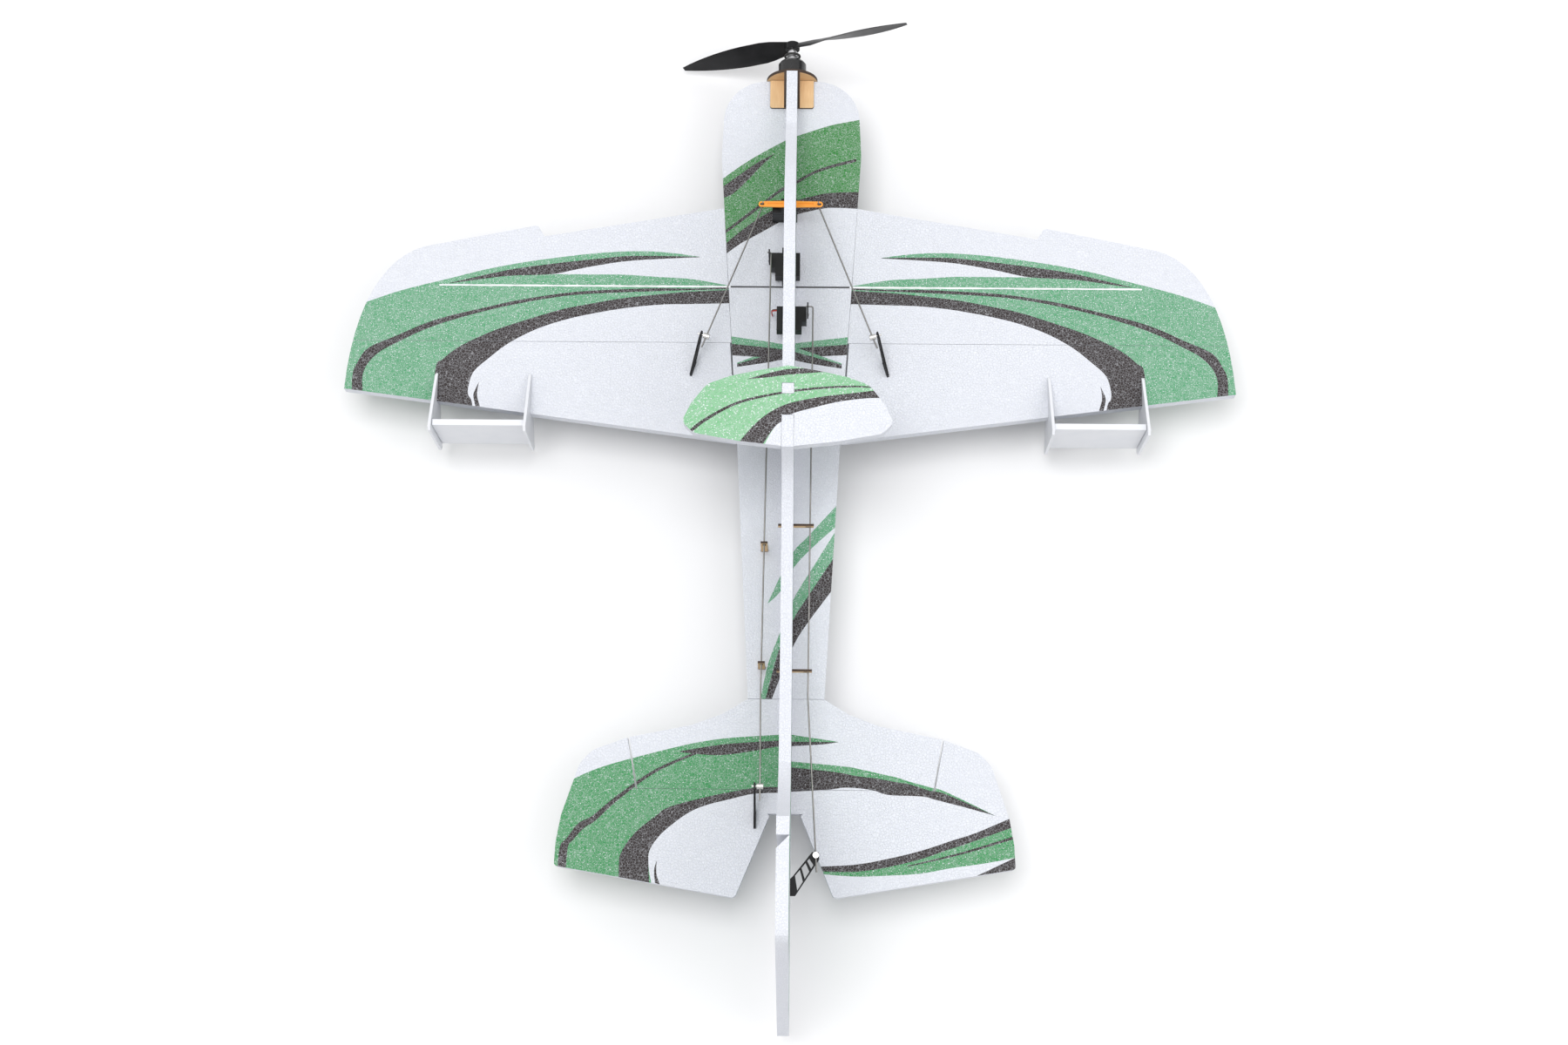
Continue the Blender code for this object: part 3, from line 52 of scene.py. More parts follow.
# camera, high over the wing and tilted towards the nose
cameraLook = dict(
    place=(0.0141, -0.6894),
    above=1.7588,  # over the flat plates
    tilt=(14.9, 0.417, 0.573),  # degrees
    lens=47.4,
    sensor=36.0,
)
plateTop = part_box("fuselage_plate")[1].z
camera = bpy.data.objects.new("studioCamera", bpy.data.cameras.new("studioCamera"))
camera.data.lens = cameraLook["lens"]
camera.data.sensor_width = cameraLook["sensor"]
camera.location = (*cameraLook["place"], plateTop + cameraLook["above"])
camera.rotation_euler = Euler([math.radians(a) for a in cameraLook["tilt"]])
bpy.context.scene.collection.objects.link(camera)
bpy.context.scene.camera = camera
print("camera placed")


# small helpers for node trees
def effectGroup(name, inputs, outputs):
    group = bpy.data.node_groups.new(name, "ShaderNodeTree")
    for label, kind, value in inputs:
        socket = group.interface.new_socket(name=label, in_out="INPUT", socket_type=kind)
        socket.default_value = value
    for label, kind in outputs:
        group.interface.new_socket(name=label, in_out="OUTPUT", socket_type=kind)
    return group, group.nodes.new("NodeGroupInput"), group.nodes.new("NodeGroupOutput")


def feed(tree, socket, value):
    # a number or colour is set on the socket, anything else is an output to link
    if isinstance(value, (int, float, tuple)):
        socket.default_value = value
    else:
        tree.links.new(value, socket)


def mathNode(tree, how, a, b=0):
    node = tree.nodes.new("ShaderNodeMath")
    node.operation = how
    feed(tree, node.inputs[0], a)
    feed(tree, node.inputs[1], b)
    return node.outputs[0]


def vectorNode(tree, how, a, b):
    node = tree.nodes.new("ShaderNodeVectorMath")
    node.operation = how
    feed(tree, node.inputs[0], a)
    feed(tree, node.inputs[1], b)
    return node


def partPoint(tree):
    return tree.nodes.new("ShaderNodeTexCoord").outputs["Object"]


def ramp(tree, value, low, high):
    node = tree.nodes.new("ShaderNodeMapRange")
    for label, number in (("Value", value), ("From Min", low), ("From Max", high)):
        feed(tree, node.inputs[label], number)
    return node.outputs[0]


def mixColour(tree, factor, a, b):
    node = tree.nodes.new("ShaderNodeMix")
    node.data_type = "RGBA"
    colours = [s for s in node.inputs if s.type == "RGBA"]
    feed(tree, node.inputs[0], factor)
    feed(tree, colours[0], a)
    feed(tree, colours[1], b)
    return [s for s in node.outputs if s.type == "RGBA"][0]


def noise(tree, point, scale, detail=3.0):
    node = tree.nodes.new("ShaderNodeTexNoise")
    feed(tree, node.inputs["Vector"], point)
    feed(tree, node.inputs["Scale"], scale)
    node.inputs["Detail"].default_value = detail
    return node.outputs["Fac"]


# fused beads: a low dome for each bead and a thin groove where two meet
beadEffect = dict(poreScale=2600.0, poreDetail=2.0, poreShare=0.6)


def makeFoamBeads():
    group, start, end = effectGroup(
        "foamBeads",
        [("Beads Per Metre", "NodeSocketFloat", 420.0), ("Groove", "NodeSocketFloat", 0.12)],
        [
            ("Height", "NodeSocketFloat"),
            ("Groove Mask", "NodeSocketFloat"),
            ("Bead Tone", "NodeSocketFloat"),
        ],
    )
    point = partPoint(group)
    cells = group.nodes.new("ShaderNodeTexVoronoi")
    cells.feature = "DISTANCE_TO_EDGE"
    tones = group.nodes.new("ShaderNodeTexVoronoi")
    for node in (cells, tones):
        feed(group, node.inputs["Vector"], point)
        feed(group, node.inputs["Scale"], start.outputs["Beads Per Metre"])
    dome = ramp(group, cells.outputs["Distance"], 0.0, start.outputs["Groove"])
    pores = noise(group, point, beadEffect["poreScale"], beadEffect["poreDetail"])
    height = mathNode(group, "ADD", dome, mathNode(group, "MULTIPLY", pores, beadEffect["poreShare"]))
    feed(group, end.inputs["Height"], height)
    feed(group, end.inputs["Groove Mask"], mathNode(group, "SUBTRACT", 1.0, dome))
    split = group.nodes.new("ShaderNodeSeparateColor")
    feed(group, split.inputs[0], tones.outputs["Color"])
    feed(group, end.inputs["Bead Tone"], split.outputs[0])
    return group


# ink that misses some bead grooves and pits, so the foam shows through
inkEffect = dict(
    pitScale=900.0,
    pitEdge=0.07,
    grooveShare=0.28,
    cloudScale=22.0,
    cloudShare=0.12,
    toneShare=0.14,
)


def makeSpeckledInk():
    group, start, end = effectGroup(
        "speckledInk",
        [
            ("Ink", "NodeSocketColor", (0.2, 0.5, 0.3, 1)),
            ("Foam", "NodeSocketColor", (0.85, 0.87, 0.9, 1)),
            ("Missed", "NodeSocketFloat", 0.62),
            ("Fade", "NodeSocketFloat", 1.0),
            ("Groove Mask", "NodeSocketFloat", 0.0),
            ("Bead Tone", "NodeSocketFloat", 0.5),
        ],
        [("Color", "NodeSocketColor")],
    )
    point = partPoint(group)
    pits = noise(group, point, inkEffect["pitScale"], 2.0)
    edge = mathNode(group, "ADD", start.outputs["Missed"], inkEffect["pitEdge"])
    missed = ramp(group, pits, start.outputs["Missed"], edge)
    groove = mathNode(group, "MULTIPLY", start.outputs["Groove Mask"], inkEffect["grooveShare"])
    bare = mathNode(group, "MAXIMUM", missed, groove)
    cloud = mathNode(group, "MULTIPLY", noise(group, point, inkEffect["cloudScale"]), inkEffect["cloudShare"])
    tone = mathNode(group, "MULTIPLY", start.outputs["Bead Tone"], inkEffect["toneShare"])
    fade = mathNode(group, "MULTIPLY", mathNode(group, "ADD", cloud, tone), start.outputs["Fade"])
    weak = mixColour(group, fade, start.outputs["Ink"], start.outputs["Foam"])
    feed(group, end.inputs["Color"], mixColour(group, bare, weak, start.outputs["Foam"]))
    return group


# finger marks and fine scuffs: a roughness that wanders, and a fine grain for the bump
marksEffect = dict(smearScale=60.0, smearDetail=5.0, maskFrom=0.35, maskTo=0.75)


def makeHandling():
    group, start, end = effectGroup(
        "handlingMarks",
        [
            ("Base", "NodeSocketFloat", 0.4),
            ("Spread", "NodeSocketFloat", 0.2),
            ("Grain", "NodeSocketFloat", 3000.0),
        ],
        [("Roughness", "NodeSocketFloat"), ("Height", "NodeSocketFloat"), ("Mask", "NodeSocketFloat")],
    )
    point = partPoint(group)
    smear = noise(group, point, marksEffect["smearScale"], marksEffect["smearDetail"])
    centred = mathNode(group, "SUBTRACT", smear, 0.5)
    wander = mathNode(group, "MULTIPLY", centred, start.outputs["Spread"])
    feed(group, end.inputs["Roughness"], mathNode(group, "ADD", start.outputs["Base"], wander))
    feed(group, end.inputs["Height"], noise(group, point, start.outputs["Grain"], 2.0))
    feed(group, end.inputs["Mask"], ramp(group, smear, marksEffect["maskFrom"], marksEffect["maskTo"]))
    return group


# birch face grain, and laser-burnt edges wherever the surface leaves the sheet's own plane
plyEffect = dict(
    grainScale=900.0,
    grainDetail=5.0,
    darkGrain=(0.50, 0.30, 0.14, 1),
    paleGrain=(0.72, 0.52, 0.30, 1),
    burnt=(0.035, 0.018, 0.010, 1),
    burntFrom=0.15,
    burntTo=0.4,
)


def makePlyLook():
    group, start, end = effectGroup(
        "plyLook",
        [("Sheet Way", "NodeSocketVector", (0, 0, 1)), ("Grain Way", "NodeSocketVector", (1, 0.1, 1))],
        [("Color", "NodeSocketColor"), ("Height", "NodeSocketFloat")],
    )
    stretch = vectorNode(group, "MULTIPLY", partPoint(group), start.outputs["Grain Way"])
    grain = noise(group, stretch.outputs[0], plyEffect["grainScale"], plyEffect["grainDetail"])
    face = mixColour(group, grain, plyEffect["darkGrain"], plyEffect["paleGrain"])
    normal = group.nodes.new("ShaderNodeNewGeometry").outputs["Normal"]
    facing = vectorNode(group, "DOT_PRODUCT", normal, start.outputs["Sheet Way"])
    onFace = mathNode(group, "ABSOLUTE", facing.outputs["Value"])
    offFace = mathNode(group, "SUBTRACT", 1.0, onFace)
    burnt = ramp(group, offFace, plyEffect["burntFrom"], plyEffect["burntTo"])
    feed(group, end.inputs["Color"], mixColour(group, burnt, face, plyEffect["burnt"]))
    feed(group, end.inputs["Height"], grain)
    return group


# fine turning or drawing lines along one way
metalEffect = dict(lineScale=400.0, roughShare=0.25)


def makeDrawnMetal():
    group, start, end = effectGroup(
        "drawnMetal",
        [("Lines Way", "NodeSocketVector", (1, 30, 1)), ("Base", "NodeSocketFloat", 0.28)],
        [("Roughness", "NodeSocketFloat"), ("Height", "NodeSocketFloat")],
    )
    stretch = vectorNode(group, "MULTIPLY", partPoint(group), start.outputs["Lines Way"])
    lines = noise(group, stretch.outputs[0], metalEffect["lineScale"])
    rough = mathNode(group, "MULTIPLY", lines, metalEffect["roughShare"])
    feed(group, end.inputs["Roughness"], mathNode(group, "ADD", start.outputs["Base"], rough))
    feed(group, end.inputs["Height"], lines)
    return group


foamBeads = makeFoamBeads()
speckledInk = makeSpeckledInk()
handlingMarks = makeHandling()
plyLook = makePlyLook()
drawnMetal = makeDrawnMetal()


# finishes
def newMaterial(name):
    material = bpy.data.materials.new(name)
    material.use_nodes = True
    return material, material.node_tree, material.node_tree.nodes["Principled BSDF"]


def placeGroup(tree, group, values):
    node = tree.nodes.new("ShaderNodeGroup")
    node.node_tree = group
    for label, value in values.items():
        node.inputs[label].default_value = value
    return node


def addBump(tree, shader, height, strength, depth):
    bump = tree.nodes.new("ShaderNodeBump")
    bump.inputs["Strength"].default_value = strength
    bump.inputs["Distance"].default_value = depth
    feed(tree, bump.inputs["Height"], height)
    feed(tree, shader.inputs["Normal"], bump.outputs[0])


# foam sheet, bare and printed, with the tail's green print deepened as painted shade
foamLook = dict(
    bare=(0.62, 0.638, 0.690, 1),
    sparkle=(0.74, 0.755, 0.80, 1),
    green=(0.050, 0.275, 0.115, 1),
    paleGreen=(0.150, 0.42, 0.19, 1),
    deepGreen=(0.010, 0.180, 0.016, 1),
    # the tail's green: the same green print, made deeper than the wing's green as painted shade
    tailGreenShaded=(0.016, 0.228, 0.056, 1),
    dark=(0.024, 0.017, 0.017, 1),
    beadsPerMetre=430.0,
    groove=0.10,
    rough=0.62,
    gloss=0.28,
    glow=0.08,
    glowReach=(0.004, 0.004, 0.005),
    bump=0.7,
    bumpDepth=0.4 * mm,
)


def foamMaterial(name, ink=None, missed=0.60, fade=0.7):
    material, tree, shader = newMaterial(name)
    size = {"Beads Per Metre": foamLook["beadsPerMetre"], "Groove": foamLook["groove"]}
    beads = placeGroup(tree, foamBeads, size)
    values = {"Ink": ink or foamLook["bare"], "Foam": foamLook["sparkle"], "Missed": missed, "Fade": fade}
    cover = placeGroup(tree, speckledInk, values)
    for label in ("Groove Mask", "Bead Tone"):
        feed(tree, cover.inputs[label], beads.outputs[label])
    feed(tree, shader.inputs["Base Color"], cover.outputs[0])
    shader.inputs["Roughness"].default_value = foamLook["rough"]
    shader.inputs["Specular IOR Level"].default_value = foamLook["gloss"]
    shader.inputs["Subsurface Weight"].default_value = 0.0 if ink else foamLook["glow"]
    shader.inputs["Subsurface Radius"].default_value = foamLook["glowReach"]
    addBump(tree, shader, beads.outputs["Height"], foamLook["bump"], foamLook["bumpDepth"])
    return material


inks = {
    "bare": foamMaterial("foamBare"),
    "green": foamMaterial("foamGreenInk", foamLook["green"]),
    "pale": foamMaterial("foamPaleGreenInk", foamLook["paleGreen"]),
    "deep": foamMaterial("foamDeepGreenInk", foamLook["deepGreen"], missed=0.62, fade=0.5),
    # tail ink: green print darkened with painted shade
    "tail": foamMaterial("foamTailGreenInkShaded", foamLook["tailGreenShaded"], missed=0.61, fade=0.55),
    "dark": foamMaterial("foamDarkInk", foamLook["dark"], missed=0.655, fade=0.08),
}

plasticLook = dict(spread=0.18, wornGain=1.25, wornLift=0.006, bumpDepth=0.2 * mm)
metalLook = dict(dulled=0.78, bumpDepth=0.1 * mm)
plyFinish = dict(rough=0.7, bump=0.25, bumpDepth=0.2 * mm)
strapLook = dict(
    threadScale=420.0,
    shade=(0.012, 0.012, 0.013, 1),
    thread=(0.05, 0.05, 0.055, 1),
    rough=0.85,
    bump=0.5,
    bumpDepth=0.3 * mm,
)


def plasticMaterial(name, colour, rough, grain=2500.0, bump=0.05, worn=None, shine=0.5):
    material, tree, shader = newMaterial(name)
    marks = placeGroup(tree, handlingMarks, {"Base": rough, "Spread": plasticLook["spread"], "Grain": grain})
    feed(tree, shader.inputs["Roughness"], marks.outputs["Roughness"])
    gain, lift = plasticLook["wornGain"], plasticLook["wornLift"]
    paler = worn or tuple(min(1.0, c * gain + lift) for c in colour[:3]) + (1,)
    feed(tree, shader.inputs["Base Color"], mixColour(tree, marks.outputs["Mask"], colour, paler))
    shader.inputs["Specular IOR Level"].default_value = shine
    addBump(tree, shader, marks.outputs["Height"], bump, plasticLook["bumpDepth"])
    return material


def metalMaterial(name, colour, rough, linesWay, bump=0.08):
    material, tree, shader = newMaterial(name)
    lines = placeGroup(tree, drawnMetal, {"Lines Way": linesWay, "Base": rough})
    marks = placeGroup(tree, handlingMarks, {})
    duller = tuple(c * metalLook["dulled"] for c in colour[:3]) + (1,)
    feed(tree, shader.inputs["Base Color"], mixColour(tree, marks.outputs["Mask"], colour, duller))
    shader.inputs["Metallic"].default_value = 1.0
    feed(tree, shader.inputs["Roughness"], lines.outputs["Roughness"])
    addBump(tree, shader, lines.outputs["Height"], bump, metalLook["bumpDepth"])
    return material


def plyMaterial(name, sheetWay, grainWay):
    material, tree, shader = newMaterial(name)
    ply = placeGroup(tree, plyLook, {"Sheet Way": sheetWay, "Grain Way": grainWay})
    feed(tree, shader.inputs["Base Color"], ply.outputs["Color"])
    shader.inputs["Roughness"].default_value = plyFinish["rough"]
    addBump(tree, shader, ply.outputs["Height"], plyFinish["bump"], plyFinish["bumpDepth"])
    return material


def strapMaterial(name):
    material, tree, shader = newMaterial(name)
    point = partPoint(tree)
    waves = []
    for way in ("Y", "Z"):
        wave = tree.nodes.new("ShaderNodeTexWave")
        wave.bands_direction = way
        wave.inputs["Scale"].default_value = strapLook["threadScale"]
        feed(tree, wave.inputs["Vector"], point)
        waves.append(wave.outputs["Fac"])
    weave = mathNode(tree, "MULTIPLY", waves[0], waves[1])
    feed(tree, shader.inputs["Base Color"], mixColour(tree, weave, strapLook["shade"], strapLook["thread"]))
    shader.inputs["Roughness"].default_value = strapLook["rough"]
    addBump(tree, shader, weave, strapLook["bump"], strapLook["bumpDepth"])
    return material


brakeWhite = plasticMaterial("brakeWhite", (0.66, 0.67, 0.70, 1), rough=0.42, grain=1800.0, bump=0.04,
                             worn=(0.63, 0.645, 0.68, 1))
glueWhite = plasticMaterial("glueBead", (0.74, 0.75, 0.77, 1), rough=0.25, grain=500.0, bump=0.15,
                            worn=(0.68, 0.69, 0.71, 1))
carbonRod = plasticMaterial("carbonRod", (0.018, 0.018, 0.020, 1), rough=0.35, grain=5000.0, bump=0.10)
propBlack = plasticMaterial("propellerBlack", (0.004, 0.004, 0.005, 1), rough=0.34, grain=2200.0, bump=0.04,
                            shine=0.22)
bellBlack = plasticMaterial("bellBlack", (0.012, 0.012, 0.013, 1), rough=0.28, grain=2600.0, bump=0.03)
rubber = plasticMaterial("ringRubber", (0.014, 0.014, 0.014, 1), rough=0.6, grain=4000.0, bump=0.12)
servoBlack = plasticMaterial("servoBlack", (0.005, 0.005, 0.006, 1), rough=0.40, grain=3200.0, bump=0.10,
                             shine=0.25)
servoArm = plasticMaterial("servoArmBlack", (0.008, 0.008, 0.009, 1), rough=0.42, grain=3000.0, bump=0.06,
                           shine=0.3)
hornBlack = plasticMaterial("hornBlack", (0.005, 0.005, 0.006, 1), rough=0.50, grain=3200.0, bump=0.10,
                            shine=0.25)
armOrange = plasticMaterial("armOrange", (0.86, 0.30, 0.02, 1), rough=0.36, grain=2600.0)
wrapBlue = plasticMaterial("batteryWrap", (0.03, 0.07, 0.26, 1), rough=0.26, grain=700.0, bump=0.12)
shrinkBlack = plasticMaterial("shrinkTube", (0.014, 0.014, 0.016, 1), rough=0.30, grain=900.0, bump=0.15)
leadRed = plasticMaterial("leadRed", (0.45, 0.02, 0.015, 1), rough=0.4)
leadBrown = plasticMaterial("leadBrown", (0.10, 0.035, 0.02, 1), rough=0.4)
alloy = metalMaterial("motorAlloy", (0.78, 0.78, 0.80, 1), rough=0.22, linesWay=(1, 12, 1))
steel = metalMaterial("springSteel", (0.26, 0.25, 0.24, 1), rough=0.3, linesWay=(12, 1, 12))
stopperSteel = metalMaterial("stopperSteel", (0.66, 0.65, 0.63, 1), rough=0.2, linesWay=(1, 1, 12))
brassPin = metalMaterial("brassPin", (0.80, 0.60, 0.28, 1), rough=0.25, linesWay=(1, 12, 1))
plyFlat = plyMaterial("plyFlat", sheetWay=(0, 0, 1), grainWay=(1, 0.08, 1))
plyAcross = plyMaterial("plyAcross", sheetWay=(0, 1, 0), grainWay=(0.08, 1, 1))
plyUpright = plyMaterial("plyUpright", sheetWay=(1, 0, 0), grainWay=(1, 0.08, 1))
strapWeave = strapMaterial("strapWeave")
print("finishes mixed")


# helpers that make, shape and finish a piece's mesh
def finishPiece(name, bm, material, body, angle=35, weighted=True):
    # edges sharper than the angle stay crisp
    mesh = bpy.data.meshes.new(name)
    bmesh.ops.recalc_face_normals(bm, faces=bm.faces)
    limit = math.radians(angle)
    for face in bm.faces:
        face.smooth = True
    for edge in bm.edges:
        edge.smooth = len(edge.link_faces) == 2 and edge.calc_face_angle(0) < limit
    bm.to_mesh(mesh)
    bm.free()
    obj = bpy.data.objects.new(name, mesh)
    bpy.context.scene.collection.objects.link(obj)
    for item in material if isinstance(material, list) else [material]:
        mesh.materials.append(item)
    if weighted:
        obj.modifiers.new("evenShading", "WEIGHTED_NORMAL").keep_sharp = True
    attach(obj, body)
    return obj


def standIn(node, name, bm, material, angle=35, weighted=True):
    # a finished piece in place of a CAD node, on the node's own body
    obj = finishPiece(name, bm, material, bodyOf[node], angle, weighted)
    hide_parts(node)
    return obj


def nodeMesh(node):
    # a node's own shape with its flat faces made whole again
    bm = bmesh.new()
    bm.from_mesh(nodes[node].data)
    bmesh.ops.remove_doubles(bm, verts=bm.verts, dist=1e-6)
    bmesh.ops.dissolve_limit(bm, angle_limit=math.radians(0.5), verts=bm.verts[:], edges=bm.edges[:])
    return bm


def roundEdges(bm, width, angle=40, steps=2):
    limit = math.radians(angle)
    hard = [e for e in bm.edges if len(e.link_faces) == 2 and e.calc_face_angle(0) > limit]
    bmesh.ops.bevel(
        bm, geom=hard, offset=width, offset_type="OFFSET", segments=steps, profile=0.5,
        affect="EDGES", clamp_overlap=True,
    )


def sceneObject(name, bm):
    mesh = bpy.data.meshes.new(name)
    bm.to_mesh(mesh)
    bm.free()
    obj = bpy.data.objects.new(name, mesh)
    bpy.context.scene.collection.objects.link(obj)
    return obj


def carve(bm, cutters):
    # cuts every cutter mesh out of this one
    work = sceneObject("carveBase", bm)
    helpers = [work]
    for cutter in cutters:
        other = sceneObject("carveTool", cutter)
        helpers.append(other)
        step = work.modifiers.new("cut", "BOOLEAN")
        step.operation = "DIFFERENCE"
        step.solver = "EXACT"
        step.object = other
    shape = bpy.data.meshes.new_from_object(work.evaluated_get(bpy.context.evaluated_depsgraph_get()))
    result = bmesh.new()
    result.from_mesh(shape)
    for helper in helpers:
        bpy.data.objects.remove(helper)
    return result


def block(low, high):
    bm = bmesh.new()
    bmesh.ops.create_cube(bm, size=1.0)
    low, high = Vector(low), Vector(high)
    size, middle = high - low, (low + high) / 2
    for v in bm.verts:
        v.co = Vector([v.co[i] * size[i] + middle[i] for i in range(3)])
    return bm


def turned(profile, centre, axis, sides=32):
    # profile: (along, radius) pairs from one end on the axis to the other
    turn = Vector((0, 0, 1)).rotation_difference(axis).to_matrix()
    bm = bmesh.new()
    rings = []
    for along, radius in profile:
        ring = []
        for i in range(sides if radius > hair else 1):
            a = math.tau * i / sides
            p = turn @ Vector((radius * math.cos(a), radius * math.sin(a), along))
            ring.append(bm.verts.new(Vector(centre) + p))
        rings.append(ring)
    for low, high in zip(rings, rings[1:]):
        for i in range(sides):
            j = (i + 1) % sides
            if len(low) == 1:
                bm.faces.new((low[0], high[i], high[j]))
            elif len(high) == 1:
                bm.faces.new((low[i], low[j], high[0]))
            else:
                bm.faces.new((low[i], low[j], high[j], high[i]))
    return bm


def joined(parts):
    whole = bmesh.new()
    for bm in parts:
        mesh = bpy.data.meshes.new("part")
        bm.to_mesh(mesh)
        bm.free()
        whole.from_mesh(mesh)
        bpy.data.meshes.remove(mesh)
    return whole


# pan head with a cross recess, as shares of the head's height and radius
screwLook = dict(
    profile=[(0, 0), (0, 1), (0.45, 1), (0.8, 0.8), (1, 0.4), (1, 0)],
    slotLong=0.6,
    slotWide=0.13,
    slotFrom=0.45,
    slotTo=1.4,
    sides=24,
)


def screwHead(centre, axis, radius, height):
    axis = Vector(axis)
    profile = [(height * h, radius * r) for h, r in screwLook["profile"]]
    head = turned(profile, centre, axis, screwLook["sides"])
    turn = Vector((0, 0, 1)).rotation_difference(axis).to_matrix()
    long, wide = radius * screwLook["slotLong"], radius * screwLook["slotWide"]
    cutters = []
    for x, y in ((long, wide), (wide, long)):
        tool = block((-x, -y, height * screwLook["slotFrom"]), (x, y, height * screwLook["slotTo"]))
        for v in tool.verts:
            v.co = Vector(centre) + turn @ v.co
        cutters.append(tool)
    return carve(head, cutters)


def tube(points, radius, sides=10):
    # closed round tube along a smooth path
    points = [Vector(p) for p in points]
    bm = bmesh.new()
    rings = []
    side = (points[1] - points[0]).orthogonal()
    for i, p in enumerate(points):
        ahead = (points[min(i + 1, len(points) - 1)] - points[max(i - 1, 0)]).normalized()
        side = (side - ahead * side.dot(ahead)).normalized()
        other = ahead.cross(side)
        ring = []
        for k in range(sides):
            a = math.tau * k / sides
            ring.append(bm.verts.new(p + (side * math.cos(a) + other * math.sin(a)) * radius))
        rings.append(ring)
    for low, high in zip(rings, rings[1:]):
        for k in range(sides):
            bm.faces.new((low[k], low[(k + 1) % sides], high[(k + 1) % sides], high[k]))
    bm.faces.new(rings[0])
    bm.faces.new(rings[-1])
    return bm


# helpers for the printed pattern
def smoothLine(points, steps=6):
    # a smooth curve through every point
    line = []
    numbers = range(len(points[0]))
    for i in range(len(points) - 1):
        four = [points[max(0, min(len(points) - 1, i + k))] for k in (-1, 0, 1, 2)]
        for s in range(steps):
            t = s / steps
            weights = (
                -t + 2 * t * t - t ** 3,
                2 - 5 * t * t + 3 * t ** 3,
                t + 4 * t * t - 3 * t ** 3,
                t ** 3 - t * t,
            )
            line.append(tuple(0.5 * sum(w * p[n] for w, p in zip(weights, four)) for n in numbers))
    line.append(tuple(points[-1]))
    return line


def patch(ink, corners):
    return ink, [(x * mm, y * mm) for x, y in corners]


def stripe(ink, above, below):
    # an ink patch between two smooth lines that run the same way
    return patch(ink, smoothLine(above) + smoothLine(below)[::-1])


def mirrored(patches):
    return [(ink, [(-x, y) for x, y in shape]) for ink, shape in patches]


def outline(shape):
    return list(zip(shape, shape[1:] + shape[:1]))


def isInside(point, sides):
    # sides: the closed outline's sides in any order
    x, y = point
    hit = False
    for (ax, ay), (bx, by) in sides:
        if (ay > y) != (by > y) and x < (bx - ax) * (y - ay) / (by - ay) + ax:
            hit = not hit
    return hit


def splitAt(bm, edges, point):
    # gives a face's rim a corner where a stripe's edge reaches it
    for edge in edges:
        a, b = (v.co for v in edge.verts)
        way = b - a
        t = (point - a).dot(way) / way.length_squared
        if 0 < t < 1 and (a + way * t - point).length < near:
            new, corner = bmesh.utils.edge_split(edge, edge.verts[0], t)
            corner.co = point
            edges.append(new)
            return corner
    return None


def printFace(bm, across, level, patches, inkList):
    # redraws one flat face of a plate so that every ink patch has its own faces
    ways = [i for i in range(3) if i != across]
    flat = [f for f in bm.faces if all(abs(v.co[across] - level) < near for v in f.verts)]
    inner = set(flat)
    rim = [e for e in bm.edges if sum(f in inner for f in e.link_faces) == 1]
    corners = list(dict.fromkeys(v for e in rim for v in e.verts))
    number = {v: i for i, v in enumerate(corners)}
    points = [Vector((v.co[ways[0]], v.co[ways[1]])) for v in corners]
    edges = [(number[e.verts[0]], number[e.verts[1]]) for e in rim]
    rimSides = [(points[a][:], points[b][:]) for a, b in edges]
    low = [min(p[i] for p in points) - 2 * mm for i in (0, 1)]
    high = [max(p[i] for p in points) + 2 * mm for i in (0, 1)]
    for _, shape in patches:
        shape = [(min(max(x, low[0]), high[0]), min(max(y, low[1]), high[1])) for x, y in shape]
        kept = [p for p, q in outline(shape) if (Vector(p) - Vector(q)).length > near]
        first = len(points)
        points += [Vector(p) for p in kept]
        edges += [(first + i, first + (i + 1) % len(kept)) for i in range(len(kept))]
    spots, _, faces, _, _, _ = delaunay_2d_cdt(points, edges, [], 0, hair)
    bmesh.ops.delete(bm, geom=flat, context="FACES_KEEP_BOUNDARY")
    made = {}
    rimEdges = [e for e in rim if e.is_valid]
    inkSides = [(ink, outline(shape)) for ink, shape in patches]

    def cornerFor(i):
        if i not in made:
            co = Vector((0, 0, 0))
            co[across], co[ways[0]], co[ways[1]] = level, spots[i].x, spots[i].y
            match = next((v for v in corners if (v.co - co).length < near), None)
            made[i] = match or splitAt(bm, rimEdges, co) or bm.verts.new(co)
        return made[i]

    for face in faces:
        centre = [sum(spots[i][n] for i in face) / len(face) for n in (0, 1)]
        if not isInside(centre, rimSides):
            continue
        found = "bare"
        for ink, sides in inkSides:
            if isInside(centre, sides):
                found = ink
        verts = [cornerFor(i) for i in face]
        if len(set(verts)) < 3:
            continue  # a sliver along the rim
        try:
            drawn = bm.faces.new(verts)
        except ValueError:
            continue  # that face is there already
        drawn.material_index = inkList.index(found)


def printedPlate(node, across, levels, patches):
    # across: the axis through the plate, levels: its printed faces along that axis
    bm = nodeMesh(node)
    inkList = ["bare"] + sorted({ink for ink, _ in patches})
    for face in bm.faces:
        face.material_index = 0
    for level in levels:
        printFace(bm, across, level, patches, inkList)
    standIn(node, node + "_print", bm, [inks[i] for i in inkList], 20, False)


